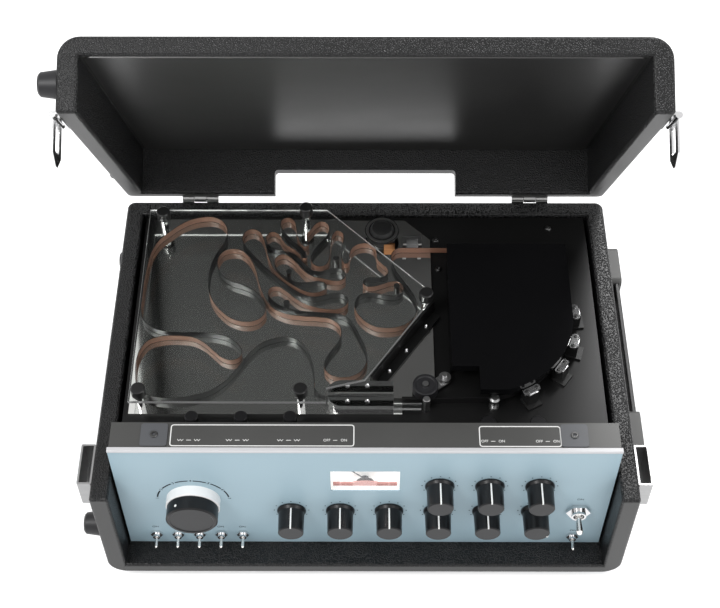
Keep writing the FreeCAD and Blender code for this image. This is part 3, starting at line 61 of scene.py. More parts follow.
def on_panel(x, z, turn=0.0):
    """Stands a flat drawing up on the front panel at x and z, turned clockwise by some degrees."""
    return (Matrix.Translation((x, PANEL_FACE_Y, z)) @ Matrix.Rotation(math.radians(90), 4, "X")
            @ Matrix.Rotation(math.radians(-turn), 4, "Z"))


print("panel origin:", TO_FRAME @ on_panel(0, 0).to_translation())

# %% [markdown]
# The camera stands where the photographer's stood: about 72 cm in front of the centre of the object and
# 109 cm up, looking down by some 53 degrees through a lens of 71 mm. A matrix product of turns says this
# without any guess about the order of Euler angles.

# %% Camera
CAMERA_PLACE = (-0.00045, -0.718025, 1.0938)
CAMERA_TILT = 37.182
CAMERA_PAN = 0.295
CAMERA_ROLL = -0.149
camera_data = bpy.data.cameras.new("camera")
camera_data.lens = 71.3
camera_data.sensor_width = 36
camera = bpy.data.objects.new("camera", camera_data)
bpy.context.scene.collection.objects.link(camera)
camera.matrix_world = (Matrix.Translation(CAMERA_PLACE) @ Matrix.Rotation(math.radians(CAMERA_PAN), 4, "Z")
                       @ Matrix.Rotation(math.radians(CAMERA_TILT), 4, "X")
                       @ Matrix.Rotation(math.radians(CAMERA_ROLL), 4, "Z"))
bpy.context.scene.camera = camera
print("camera at", [round(v, 3) for v in camera.location])

# %% [markdown]
# The picture was taken in a white studio. The world gives soft light from everywhere, and shows as plain
# white to the camera, to mirrors and to glass. Light Path tells these rays apart, so the backdrop can be
# white without more light falling on the object.

# %% World
WORLD_LEVEL = 0.8


def add(tree, kind, values=None, **settings):
    """Adds a node, sets its properties and the values of its inputs."""
    node = tree.nodes.new(kind)
    for key, value in settings.items():
        setattr(node, key, value)
    for key, value in (values or {}).items():
        node.inputs[key].default_value = value
    return node


def seen_directly(tree):
    """1 for rays from the camera, from mirrors and from glass, and 0 for the light that falls on things."""
    path = add(tree, "ShaderNodeLightPath")
    first = add(tree, "ShaderNodeMath", operation="MAXIMUM")
    second = add(tree, "ShaderNodeMath", operation="MAXIMUM")
    tree.links.new(path.outputs["Is Camera Ray"], first.inputs[0])
    tree.links.new(path.outputs["Is Glossy Ray"], first.inputs[1])
    tree.links.new(first.outputs[0], second.inputs[0])
    tree.links.new(path.outputs["Is Transmission Ray"], second.inputs[1])
    return second.outputs[0]


world = bpy.data.worlds.new("studio")
bpy.context.scene.world = world
world.use_nodes = True
background = world.node_tree.nodes["Background"]
world_mix = add(world.node_tree, "ShaderNodeMix", data_type="RGBA")
world_mix.inputs[6].default_value = (WORLD_LEVEL, WORLD_LEVEL, WORLD_LEVEL * 1.02, 1)
world_mix.inputs[7].default_value = (1, 1, 1, 1)
world.node_tree.links.new(seen_directly(world.node_tree), world_mix.inputs[0])
world.node_tree.links.new(world_mix.outputs[2], background.inputs["Color"])
bpy.context.scene.view_settings.view_transform = "Standard"
print("world level:", WORLD_LEVEL)

# %% [markdown]
# Three large area lamps make the soft shadows and the highlights: the main one high on the left, in front,
# a weaker one on the right that keeps the far sides of the knobs readable, and one behind on the right that
# shines along the deck and the right rim. Large lamps have soft edges, as in the photograph.

# %% Lamps
LAMPS = [
    ("main_lamp", (-0.95, -0.75, 1.75), 0.7, 20.0),
    ("fill_lamp", (1.3, -0.9, 1.3), 0.8, 6.0),
    ("rear_lamp", (0.62, 1.05, 1.45), 0.6, 19.0),
]
for name, at, size, power in LAMPS:
    light = bpy.data.lights.new(name, "AREA")
    light.size = size
    light.energy = power
    lamp = bpy.data.objects.new(name, light)
    bpy.context.scene.collection.objects.link(lamp)
    lamp.location = at
    lamp.rotation_mode = "QUATERNION"
    lamp.rotation_quaternion = (Vector((0, 0, 0.12)) - Vector(at)).to_track_quat("-Z", "Y")
print("lamps:", len(LAMPS))

# %% [markdown]
# Real finishes are never even. Three effects are used by many materials, so each is a node group that is
# built once: a pebbled skin for the covering, a fine mottling for paint and plastic, and long streaks for
# brushed metal. A group puts out only heights and masks. Each material decides what they do.

# %% Group helper
def new_group(name, inputs, outputs):
    tree = bpy.data.node_groups.new(name, "ShaderNodeTree")
    for label in inputs:
        tree.interface.new_socket(label, in_out="INPUT", socket_type="NodeSocketFloat")
    for label in outputs:
        tree.interface.new_socket(label, in_out="OUTPUT", socket_type="NodeSocketFloat")
    return tree, tree.nodes.new("NodeGroupInput"), tree.nodes.new("NodeGroupOutput")


def object_point(tree):
    return add(tree, "ShaderNodeTexCoord").outputs["Object"]


print("group helper ready")

# %% Pebbled skin
pebbles, pebbles_in, pebbles_out = new_group("pebbled_skin", ["Scale"], ["Height", "Tone"])
cells = add(pebbles, "ShaderNodeTexVoronoi", {"Smoothness": 0.35, "Randomness": 0.9}, feature="SMOOTH_F1")
wander = add(pebbles, "ShaderNodeTexNoise", {"Scale": 9.0, "Detail": 4.0, "Roughness": 0.6})
spread = add(pebbles, "ShaderNodeMapRange",
             {"From Min": 0.08, "From Max": 0.58, "To Min": 1.0, "To Max": 0.0})
pebbles.links.new(object_point(pebbles), cells.inputs["Vector"])
pebbles.links.new(object_point(pebbles), wander.inputs["Vector"])
pebbles.links.new(pebbles_in.outputs["Scale"], cells.inputs["Scale"])
pebbles.links.new(cells.outputs["Distance"], spread.inputs["Value"])
pebbles.links.new(spread.outputs["Result"], pebbles_out.inputs["Height"])
pebbles.links.new(wander.outputs["Fac"], pebbles_out.inputs["Tone"])
print("group:", pebbles.name)

# %% Mottling
mottle, mottle_in, mottle_out = new_group("mottling", ["Scale"], ["Fine", "Broad"])
fine = add(mottle, "ShaderNodeTexNoise", {"Detail": 2.0, "Roughness": 0.5})
broad = add(mottle, "ShaderNodeTexNoise", {"Scale": 14.0, "Detail": 5.0, "Roughness": 0.55})
mottle.links.new(object_point(mottle), fine.inputs["Vector"])
mottle.links.new(object_point(mottle), broad.inputs["Vector"])
mottle.links.new(mottle_in.outputs["Scale"], fine.inputs["Scale"])
mottle.links.new(fine.outputs["Fac"], mottle_out.inputs["Fine"])
mottle.links.new(broad.outputs["Fac"], mottle_out.inputs["Broad"])
print("group:", mottle.name)

# %% Brushed streaks
streaks, streaks_in, streaks_out = new_group("brushed_streaks", ["Scale"], ["Streak"])
stretch = add(streaks, "ShaderNodeVectorMath", operation="MULTIPLY")
stretch.inputs[1].default_value = (0.04, 0.04, 1.0)
lines = add(streaks, "ShaderNodeTexNoise", {"Detail": 3.0, "Roughness": 0.6})
streaks.links.new(object_point(streaks), stretch.inputs[0])
streaks.links.new(stretch.outputs[0], lines.inputs["Vector"])
streaks.links.new(streaks_in.outputs["Scale"], lines.inputs["Scale"])
streaks.links.new(lines.outputs["Fac"], streaks_out.inputs["Streak"])
print("group:", streaks.name)

# %% [markdown]
# Most finishes of this object are a plain colour that varies a little, a roughness that varies a little,
# and a relief too fine to model. One maker takes these three and one of the groups above. What is the same
# all over the surface is set on the Principled shader's own sockets.

# %% Material maker
def use_group(tree, group, scale):
    node = add(tree, "ShaderNodeGroup", node_tree=group)
    node.inputs["Scale"].default_value = scale
    return node


def between(tree, mask, low, high):
    """A number that goes from low to high with a mask."""
    ramp = add(tree, "ShaderNodeMapRange", {"To Min": low, "To Max": high})
    tree.links.new(mask, ramp.inputs["Value"])
    return ramp.outputs["Result"]


def blend_colours(tree, mask, first, second):
    mix = add(tree, "ShaderNodeMix", data_type="RGBA")
    for socket, colour in ((mix.inputs[6], first), (mix.inputs[7], second)):
        if isinstance(colour, tuple):
            socket.default_value = (*colour, 1)
        else:
            tree.links.new(colour, socket)
    tree.links.new(mask, mix.inputs[0])
    return mix.outputs[2]


def relief(tree, shader, height, strength, depth):
    bump = add(tree, "ShaderNodeBump", {"Strength": strength, "Distance": depth})
    tree.links.new(height, bump.inputs["Height"])
    tree.links.new(bump.outputs["Normal"], shader.inputs["Normal"])


def finish(name, group, scale, masks, dark, light, rough, strength, depth, **fixed):
    """A material: two tones and two roughnesses by one mask, and relief by the other."""
    material = bpy.data.materials.new(name)
    material.use_nodes = True
    tree = material.node_tree
    shader = tree.nodes["Principled BSDF"]
    source = use_group(tree, group, scale)
    tone, height = (source.outputs[label] for label in masks)
    tree.links.new(blend_colours(tree, tone, dark, light), shader.inputs["Base Color"])
    tree.links.new(between(tree, tone, *rough), shader.inputs["Roughness"])
    relief(tree, shader, height, strength, depth)
    for socket, value in fixed.items():
        shader.inputs[socket.replace("_", " ")].default_value = value
    return material


def plastic(name, dark, light, rough, grain=1400.0, strength=0.08, **fixed):
    return finish(name, mottle, grain, ("Broad", "Fine"), dark, light, rough, strength, 0.0001, **fixed)


def metal(name, dark, light, rough, grain=900.0, strength=0.05, **fixed):
    return finish(name, streaks, grain, ("Streak", "Streak"), dark, light, rough, strength, 0.0001,
                  Metallic=1.0, **fixed)


print("material maker ready")

# %% [markdown]
# The covering is a vinyl cloth with a pebbled grain of a millimetre or two. Seen from a metre away it is
# near black, and each pebble carries a small highlight, so its relief has to be strong. The tops of the
# pebbles get a painted highlight and the valleys a painted shade: the colour follows the height.

# %% Covering
PEBBLE_SCALE = 860.0
PEBBLE_DEPTH = 0.0006
# Painted shade in the valleys and a painted highlight on the pebble tops.
VALLEY_PAINTED_SHADE = (0.001, 0.001, 0.0012)
PEBBLE_TOP_PAINTED_HIGHLIGHT = (0.018, 0.0182, 0.019)
covering = bpy.data.materials.new("covering")
covering.use_nodes = True
skin_tree = covering.node_tree
skin_shader = skin_tree.nodes["Principled BSDF"]
skin = use_group(skin_tree, pebbles, PEBBLE_SCALE)
# Base colour by height: painted highlight on the tops, painted shade in the valleys.
skin_tree.links.new(blend_colours(skin_tree, skin.outputs["Height"], VALLEY_PAINTED_SHADE, PEBBLE_TOP_PAINTED_HIGHLIGHT),
                    skin_shader.inputs["Base Color"])
skin_tree.links.new(between(skin_tree, skin.outputs["Tone"], 0.42, 0.3), skin_shader.inputs["Roughness"])
skin_shader.inputs["Specular IOR Level"].default_value = 0.4
relief(skin_tree, skin_shader, skin.outputs["Height"], 1.0, PEBBLE_DEPTH)
print("material:", covering.name)

# %% Plastics, rubber and paint
rubber = plastic("rubber", (0.01, 0.01, 0.011), (0.018, 0.018, 0.02), (0.36, 0.5), Specular_IOR_Level=0.35)
strap = plastic("strap_rubber", (0.01, 0.01, 0.01), (0.02, 0.02, 0.021), (0.4, 0.55), 700.0, 0.25)
knob_black = plastic("knob_black", (0.006, 0.006, 0.0065), (0.01, 0.01, 0.011), (0.24, 0.36),
                     Specular_IOR_Level=0.3)
black_plastic = plastic("black_plastic", (0.009, 0.009, 0.009), (0.015, 0.015, 0.015), (0.24, 0.36),
                        Specular_IOR_Level=0.35)
cast_grey = plastic("cast_grey", (0.06, 0.06, 0.058), (0.085, 0.085, 0.082), (0.45, 0.58), 800.0, 0.1)
rim_edge = plastic("rim_edge", (0.02, 0.02, 0.0195), (0.03, 0.03, 0.029), (0.4, 0.5), 900.0, 0.05)
white_plastic = plastic("white_plastic", (0.8, 0.8, 0.79), (0.86, 0.86, 0.85), (0.3, 0.42))
deck_paint = plastic("deck_paint", (0.004, 0.004, 0.004), (0.007, 0.007, 0.007), (0.3, 0.4),
                     Specular_IOR_Level=0.22)
cover_paint = plastic("cover_paint", (0.0025, 0.0025, 0.0028), (0.004, 0.004, 0.0045), (0.14, 0.2),
                      900.0, 0.02, Specular_IOR_Level=0.2)
strip_paint = plastic("strip_paint", (0.05, 0.05, 0.048), (0.068, 0.068, 0.065), (0.34, 0.46), 1100.0, 0.1)
slate_paint = plastic("slate_paint", (0.075, 0.078, 0.085), (0.09, 0.094, 0.1), (0.4, 0.5), 1100.0, 0.1)
lining = plastic("lid_lining_paint", (0.01, 0.01, 0.01), (0.018, 0.0178, 0.0172), (0.3, 0.4), 500.0, 0.05,
                 Specular_IOR_Level=1.0)
print("coverings and paints ready")

# %% Metals
chrome = metal("chrome", (0.62, 0.62, 0.63), (0.8, 0.8, 0.8), (0.1, 0.2))
polished = metal("polished_nickel", (0.88, 0.87, 0.85), (0.96, 0.95, 0.93), (0.16, 0.26))
zinc = metal("zinc", (0.3, 0.3, 0.3), (0.46, 0.46, 0.45), (0.24, 0.36))
steel = metal("steel", (0.26, 0.26, 0.26), (0.42, 0.42, 0.42), (0.24, 0.4))
dark_screw = metal("dark_screw", (0.08, 0.08, 0.08), (0.14, 0.14, 0.14), (0.24, 0.36))
bronze = metal("bronze", (0.34, 0.15, 0.06), (0.5, 0.24, 0.11), (0.25, 0.4))
bin_metal = plastic("bin_metal", (0.66, 0.66, 0.64), (0.78, 0.78, 0.76), (0.05, 0.11), 300.0, 0.002,
                    Metallic=1.0)
print("metals ready")

# %% [markdown]
# The panel is sheet metal painted in a pale steel blue. Its top edge is a bright bar. Both are one CAD node,
# so the paint stops by height: a comparison of the Object z coordinate with the height of the edge is a
# mask for colour.

# %% Panel paint
PANEL_TRIM_Z = 0.1655
panel_paint = plastic("panel_paint", (0.315, 0.44, 0.5), (0.345, 0.47, 0.53), (0.4, 0.5), 1600.0, 0.05)
paint_tree = panel_paint.node_tree
paint_shader = paint_tree.nodes["Principled BSDF"]
split = add(paint_tree, "ShaderNodeSeparateXYZ")
above = add(paint_tree, "ShaderNodeMath", operation="GREATER_THAN")
above.inputs[1].default_value = PANEL_TRIM_Z
paint_tree.links.new(object_point(paint_tree), split.inputs[0])
paint_tree.links.new(split.outputs["Z"], above.inputs[0])
painted = paint_shader.inputs["Base Color"].links[0].from_socket
paint_tree.links.new(blend_colours(paint_tree, above.outputs[0], painted, (0.56, 0.56, 0.57)),
                     paint_shader.inputs["Base Color"])
print("material:", panel_paint.name)

# %% [markdown]
# Clear parts are glass shaders with a low roughness on their faces. The cut edges of an acrylic sheet are
# polished less, so the true normal picks them out: an edge's normal lies flat. These edges get a faint
# painted glow, an emission that stands in for light run inside the sheet, and it isn't sampled as a lamp.
# Rays that look for a lamp pass straight through, so what lies under the sheet is lit as in a real clear box.

# %% Clear parts
def clear(name, colour, edge_rough, painted_edge_glow):
    material = bpy.data.materials.new(name)
    material.use_nodes = True
    tree = material.node_tree
    shader = tree.nodes["Principled BSDF"]
    shader.inputs["Base Color"].default_value = (*colour, 1)
    shader.inputs["Transmission Weight"].default_value = 1.0
    shader.inputs["IOR"].default_value = 1.49
    normal = add(tree, "ShaderNodeNewGeometry")
    parts = add(tree, "ShaderNodeSeparateXYZ")
    upright = add(tree, "ShaderNodeMath", operation="ABSOLUTE")
    tree.links.new(normal.outputs["True Normal"], parts.inputs[0])
    tree.links.new(parts.outputs["Z"], upright.inputs[0])
    tree.links.new(between(tree, upright.outputs[0], edge_rough, 0.015), shader.inputs["Roughness"])
    # Painted glow: emission on the upright cut edges.
    painted_edge_glow_colour = blend_colours(tree, upright.outputs[0], (painted_edge_glow,) * 3, (0.0, 0.0, 0.0))
    tree.links.new(painted_edge_glow_colour, shader.inputs["Emission Color"])
    shader.inputs["Emission Strength"].default_value = 1.0
    material.cycles.emission_sampling = "NONE"
    path = add(tree, "ShaderNodeLightPath")
    through = add(tree, "ShaderNodeBsdfTransparent", {"Color": (*colour, 1)})
    mix = add(tree, "ShaderNodeMixShader")
    tree.links.new(path.outputs["Is Shadow Ray"], mix.inputs[0])
    tree.links.new(shader.outputs[0], mix.inputs[1])
    tree.links.new(through.outputs[0], mix.inputs[2])
    tree.links.new(mix.outputs[0], tree.nodes["Material Output"].inputs["Surface"])
    return material


# The last number is the strength of the painted edge glow.
acrylic = clear("acrylic_sheet", (0.93, 0.95, 0.94), 0.22, 0.14)
acrylic_block = clear("acrylic_block", (0.86, 0.88, 0.87), 0.18, 0.04)
window_glass = clear("window_glass", (0.98, 0.99, 0.99), 0.05, 0.0)
print("clear:", acrylic.name, acrylic_block.name, window_glass.name)

# %% Printing and dial colours
white_ink = plastic("white_ink", (0.78, 0.78, 0.76), (0.86, 0.86, 0.84), (0.45, 0.55))
dark_ink = plastic("dark_ink", (0.008, 0.012, 0.018), (0.012, 0.016, 0.022), (0.5, 0.6),
                   Specular_IOR_Level=0.2)
# The dial's white carries an emission: a painted glow that brightens the dial behind its window.
dial_white_painted_glow = plastic("dial_white_painted_glow", (0.86, 0.85, 0.83), (0.9, 0.9, 0.88), (0.5, 0.6),
                     Emission_Color=(1.0, 0.99, 0.98, 1.0), Emission_Strength=0.35)
dial_red = plastic("dial_red", (0.66, 0.3, 0.27), (0.72, 0.35, 0.32), (0.5, 0.6))
tape_brown = plastic("tape_brown", (0.155, 0.074, 0.047), (0.215, 0.106, 0.068), (0.42, 0.54), 500.0, 0.03,
                     Specular_IOR_Level=0.35)
tape_back = plastic("tape_back", (0.007, 0.007, 0.0075), (0.013, 0.0125, 0.0125), (0.3, 0.42), 500.0, 0.03,
                    Specular_IOR_Level=0.25)
print("inks and tape ready")

# %% [markdown]
# Each CAD node that keeps its own shape gets its finish here. The nodes are grouped by what they are made
# of. A node that no list names would stay grey, so the cell prints any that are left.

# %% Finishes of the CAD nodes
NODE_FINISHES = [
    (covering, ["base_cabinet", "lid_shell"]),
    (rubber, ["rubber_feet", "lid_feet", "pinch_roller"]),
    (strap, ["handle_strap"]),
    (cast_grey, ["handle_caps"]),
    (chrome, ["machine_screws", "latch_plates", "latch_hasp_left", "latch_hasp_right"]),
    (polished, ["mode_toggle_1", "mode_toggle_2", "mode_toggle_3", "mode_toggle_4", "mode_toggle_5",
                "small_toggle", "power_toggle", "deck_toggle"]),
    (zinc, ["hinge_bases", "lid_hinge_leaves"]),
    (steel, ["rear_panel", "latch_catches", "capstan", "pinch_arm", "motor", "guide_posts"]),
    (deck_paint, ["deck_plate", "tape_fence", "chassis"]),
    (cover_paint, ["head_cover"]),
    (strip_paint, ["control_strip"]),
    (bin_metal, ["bin_plate"]),
    (panel_paint, ["front_panel"]),
    (acrylic, ["bin_cover"]),
    (acrylic_block, ["tape_chute"]),
    (window_glass, ["meter_window"]),
    (white_plastic, ["selector_ring"]),
    (dial_white_painted_glow, ["meter_housing"]),
    (dark_ink, ["meter_needle"]),
    (black_plastic, ["rear_connectors", "thumb_screws", "guide_roller", "tape_heads"]),
    (knob_black, ["selector_knob", "deck_knob_1", "deck_knob_2", "deck_knob_3", "record_switch",
                  "erase_switch"] + ["pot_knob_%d" % number for number in range(1, 10)]),
]
left = set(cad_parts) - {"tape_loop"}
for material, names in NODE_FINISHES:
    for name in names:
        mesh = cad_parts[name].data
        mesh.materials.clear()
        mesh.materials.append(material)
        left.discard(name)
print("nodes without a finish:", sorted(left))

# %% [markdown]
# Some nodes are of two finishes, and a test on each face's place or direction tells them apart. The front
# and rim faces of the cabinet have no grain. The gate where the tape leaves the bin is bronze. The strip's
# screws are blackened, the thumb screws have bright posts under their black heads, and the pins that stand
# on the bin plate are black.

# %% Second finishes
COVER_TOP = 0.1479
PIN_FOOT = 0.1295
STRIP_SCREW_FOOT = 0.1662
FRONT_EDGE = -0.1765
GATE_PLACE = Vector((0.02125, 0.074375))
GATE_HALF = Vector((0.0049, 0.0011))
RIM_WAY = OPEN_LID.to_3x3() @ Vector((0, 0, -1))


def repaint(name, material, test):
    """Gives another finish to those faces of a node that pass a test, and counts them."""
    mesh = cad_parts[name].data
    mesh.materials.append(material)
    chosen = [face for face in mesh.polygons if test(face)]
    for face in chosen:
        face.material_index = len(mesh.materials) - 1
    return len(chosen)


def in_gate(face):
    away = face.center.xy - GATE_PLACE
    return abs(away.x) < GATE_HALF.x and abs(away.y) < GATE_HALF.y


def in_front_edge(face):
    return face.normal.y < -0.95 and face.center.y < FRONT_EDGE


print("front edges:", repaint("base_cabinet", rim_edge, in_front_edge),
      "lid rim:", repaint("lid_shell", rim_edge, lambda f: f.normal.dot(RIM_WAY) > 0.98),
      "gate:", repaint("guide_posts", bronze, in_gate),
      "strip screws:", repaint("machine_screws", dark_screw, lambda f: f.center.z > STRIP_SCREW_FOOT),
      "thumb posts:", repaint("thumb_screws", chrome, lambda f: f.center.z < COVER_TOP),
      "pins:", repaint("bin_plate", black_plastic, lambda f: f.center.z > PIN_FOOT))

# %% [markdown]
# The helpers below make the small pieces. A drawing is made flat or a profile is spun, in millimetres, with
# Blender's own mesh operators, and `keep_piece` turns it into an object that rides on a body of the frame.

# %% Piece helpers
SHARP = math.radians(35)


def keep_piece(bm, name, materials, body, matrix=None):
    """Moves a mesh from cabinet millimetres to the frame, and makes it an object on a body."""
    bmesh.ops.remove_doubles(bm, verts=bm.verts, dist=1e-5)
    bmesh.ops.recalc_face_normals(bm, faces=bm.faces)
    bmesh.ops.transform(bm, matrix=TO_FRAME @ (matrix or Matrix.Identity(4)), verts=bm.verts)
    mesh = bpy.data.meshes.new(name)
    bm.to_mesh(mesh)
    bm.free()
    mesh.shade_smooth()
    mesh.set_sharp_from_angle(angle=SHARP)
    for material in materials if isinstance(materials, list) else [materials]:
        mesh.materials.append(material)
    piece = bpy.data.objects.new(name, mesh)
    bpy.context.scene.collection.objects.link(piece)
    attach(piece, body)
    return piece


def added(bm, make):
    """The vertices that a step adds to a mesh."""
    before = set(bm.verts)
    make()
    return [v for v in bm.verts if v not in before]


def card(bm, size_x, size_y, corner, thickness, matrix, line=0.0):
    """A flat card with round corners, lying on the drawing, or only its outline if line is given."""
    def flat():
        grid = bmesh.ops.create_grid(bm, x_segments=1, y_segments=1, size=0.5)["verts"]
        bmesh.ops.scale(bm, vec=(size_x, size_y, 1), verts=grid)
        bmesh.ops.bevel(bm, geom=grid, offset=corner, offset_type="OFFSET", segments=6, profile=0.5,
                        affect="VERTICES", material=-1)
    outline = added(bm, flat)
    face = outline[0].link_faces[0]

    def lift():
        ring = [face]
        if line:
            ring = bmesh.ops.inset_region(bm, faces=[face], thickness=line, use_boundary=True,
                                           use_even_offset=True)["faces"]
            bmesh.ops.delete(bm, geom=[face], context="FACES_ONLY")
        lifted = bmesh.ops.extrude_face_region(bm, geom=ring)["geom"]
        tops = [item for item in lifted if isinstance(item, bmesh.types.BMVert)]
        bmesh.ops.translate(bm, vec=(0, 0, thickness), verts=tops)
    bmesh.ops.transform(bm, matrix=matrix, verts=outline + added(bm, lift))


def spun(bm, profile, matrix, steps=24):
    """A turned solid about z from (radius, height) points, closed at both ends on the axis."""
    def make():
        chain = [bm.verts.new((radius, 0, height)) for radius, height in profile]
        edges = [bm.edges.new(pair) for pair in zip(chain, chain[1:])]
        bmesh.ops.spin(bm, geom=chain + edges, cent=(0, 0, 0), axis=(0, 0, 1), angle=math.tau, steps=steps,
                       use_merge=True)
    verts = added(bm, make)
    bmesh.ops.remove_doubles(bm, verts=verts, dist=1e-4)
    bmesh.ops.transform(bm, matrix=matrix, verts=[v for v in verts if v.is_valid])


def bar(bm, x0, x1, y0, y1, z0, z1, edge, matrix):
    """A bar with its edges rounded."""
    def make():
        cube = bmesh.ops.create_cube(bm, size=1.0)["verts"]
        bmesh.ops.scale(bm, vec=(x1 - x0, y1 - y0, z1 - z0), verts=cube)
        bmesh.ops.translate(bm, vec=((x0 + x1) / 2, (y0 + y1) / 2, (z0 + z1) / 2), verts=cube)
        edges = list({e for v in cube for e in v.link_edges})
        bmesh.ops.bevel(bm, geom=edges, offset=edge, offset_type="OFFSET", segments=2, profile=0.5,
                        affect="EDGES", material=-1)
    bmesh.ops.transform(bm, matrix=matrix, verts=added(bm, make))


def letters(bm, text, size, thickness, matrix):
    """Plain letters, centred on the drawing."""
    curve = bpy.data.curves.new("letters", "FONT")
    curve.body = text
    curve.size = size
    curve.extrude = thickness / 2
    curve.align_x = "CENTER"
    curve.align_y = "CENTER"
    writer = bpy.data.objects.new("letters", curve)
    mesh = bpy.data.meshes.new_from_object(writer)
    mesh.transform(matrix @ Matrix.Translation((0, 0, thickness / 2)))
    bm.from_mesh(mesh)
    bpy.data.objects.remove(writer)
    bpy.data.meshes.remove(mesh)


print("piece helpers ready")

# %% [markdown]
# The tape is a loop of thin film standing on edge. One side carries brown oxide and the other a dark back
# coating. The CAD strip has the right course, so its mesh is copied. After its doubles are merged, the
# upright faces fall into two closed walls. The outer one reaches farther to the right, round the heads, so
# the other one is the side that touches them, and it is brown.

# %% Tape loop
def tape_piece():
    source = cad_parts["tape_loop"].data
    bm = bmesh.new()
    bm.from_mesh(source)
    bmesh.ops.remove_doubles(bm, verts=bm.verts, dist=2e-6)
    walls = [f for f in bm.faces if abs(f.normal.z) < 0.5]
    found = set()
    groups = []
    for start in walls:
        if start in found:
            continue
        group, queue = [], [start]
        found.add(start)
        while queue:
            face = queue.pop()
            group.append(face)
            for edge in face.edges:
                for other in edge.link_faces:
                    if other not in found and abs(other.normal.z) < 0.5:
                        found.add(other)
                        queue.append(other)
        groups.append(group)
    groups.sort(key=lambda group: max(v.co.x for f in group for v in f.verts))
    for face in bm.faces:
        face.material_index = 1
    for face in groups[0]:
        face.material_index = 0
    mesh = bpy.data.meshes.new("tape")
    bm.to_mesh(mesh)
    bm.free()
    mesh.shade_smooth()
    mesh.set_sharp_from_angle(angle=SHARP)
    mesh.materials.append(tape_brown)
    mesh.materials.append(tape_back)
    piece = bpy.data.objects.new("tape", mesh)
    bpy.context.scene.collection.objects.link(piece)
    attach(piece, "cabinet")
    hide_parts("tape_loop")
    return [len(group) for group in groups]


print("tape walls:", tape_piece())

# %% [markdown]
# The lid's inside is a smooth dark board, set in a frame of covering that is wrapped round the rim. The
# board is a thin card with round corners, laid on the lid's floor before the lid is opened.

# %% Lid lining
LID_FLOOR_Z = 161.5
LINING_SIZE = (389.0, 286.0)
LINING_CORNER = 6.0
LINING_THICKNESS = 1.0
LINING_PLACE = (0, 146.0, LID_FLOOR_Z - LINING_THICKNESS)
lining_mesh = bmesh.new()
card(lining_mesh, *LINING_SIZE, LINING_CORNER, LINING_THICKNESS, Matrix.Translation(LINING_PLACE))
keep_piece(lining_mesh, "lid_lining", lining, "lid", OPEN_LID)

# %% [markdown]
# Pointers: each pot knob carries a white line along its side, from the skirt to the face, which shows where
# it points. The line is a slim rounded bar, sunk halfway into the knob, and a short foot that turns down
# over the face. The sixth knob is turned down in the photograph, so its line points away.

# %% Knob pointers
POT_PLACES = [(-59.0 + 39.3 * i, 66.5) for i in range(6)] + [(58.9 + 39.3 * i, 106.0) for i in range(3)]
TURNED_KNOB = 6
TURNED_BY = 116.0
POINTER_HALF_WIDTH = 0.6
POINTER_ROUNDING = 0.15
POINTER_LINE = (9.9, 10.62, 3.9, 21.0)
POINTER_FOOT = (8.6, 10.0, 20.9, 21.75)
for number, (x, z) in enumerate(POT_PLACES, start=1):
    pointer_mesh = bmesh.new()
    turn = TURNED_BY if number == TURNED_KNOB else 0.0
    for radii_and_heights in (POINTER_LINE, POINTER_FOOT):
        bar(pointer_mesh, -POINTER_HALF_WIDTH, POINTER_HALF_WIDTH, *radii_and_heights, POINTER_ROUNDING,
            on_panel(x, z, turn))
    keep_piece(pointer_mesh, "pointer_%d" % number, white_ink, "pot_knob_%d" % number)
print("pointers:", len(POT_PLACES))

# %% Selector mark
SELECTOR = (-136.5, 84.0)
MARK_TURN = -34.0
MARK_R = 20.5
MARK_OUT = 15.5
MARK_PROFILE = [(0, -0.3), (1.1, -0.3), (1.1, 0.2), (0.8, 0.35), (0, 0.35)]
dot_mesh = bmesh.new()
spun(dot_mesh, MARK_PROFILE, on_panel(*SELECTOR, MARK_TURN) @ Matrix.Translation((0, MARK_R, MARK_OUT))
     @ Matrix.Rotation(math.radians(-90), 4, "X"), 16)
keep_piece(dot_mesh, "selector_mark", white_ink, "selector_knob")
print("selector mark at", SELECTOR)

# %% [markdown]
# The panel's printing is generic: small dots at every thirty degrees round each pot, and a broken arc with
# plain numbers round the selector. The ink is a film a few hundredths of a millimetre thick, lifted just
# clear of the paint so that the two faces never fight.

# %% Panel printing
INK = 0.08
INK_LIFT = 0.01
DOT_R = 0.55
DOT_RING_R = 13.9
DOT_TURNS = [30.0 * tick for tick in range(-5, 6)]
SCALE_R = 28.5
SCALE_STEP = 29.0
SCALE_NUMBERS = 7
NUMBER_SIZE = 3.8
DASHES = 6
DASH_TURN = 3.3
TOGGLE_X = -136.4
TOGGLE_PITCH = 17.85
TOGGLE_COUNT = 5
ON_SIZE = 3.5
ON_PLACES = [(172.0, 84.5), (172.0, 33.0)]
ON_PLACES += [(TOGGLE_X + TOGGLE_PITCH * (i - 2), 38.2) for i in range(TOGGLE_COUNT)]
ink_mesh = bmesh.new()
for x, z in POT_PLACES:
    for turn in DOT_TURNS:
        spun(ink_mesh, [(0, INK_LIFT), (DOT_R, INK_LIFT), (DOT_R, INK), (0, INK)],
             on_panel(x, z, turn) @ Matrix.Translation((0, DOT_RING_R, 0)), 10)
for index in range(SCALE_NUMBERS):
    turn = SCALE_STEP * (index - (SCALE_NUMBERS - 1) / 2)
    letters(ink_mesh, str(index + 1), NUMBER_SIZE, INK,
            on_panel(*SELECTOR, turn) @ Matrix.Translation((0, SCALE_R, INK_LIFT)))
    if index:
        for step in range(DASHES):
            part = turn - SCALE_STEP / 2 + DASH_TURN * (step - (DASHES - 1) / 2)
            bar(ink_mesh, -1.1, 1.1, -0.6, 0.6, INK_LIFT, INK, 0.01,
                on_panel(*SELECTOR, part) @ Matrix.Translation((0, SCALE_R, 0)))
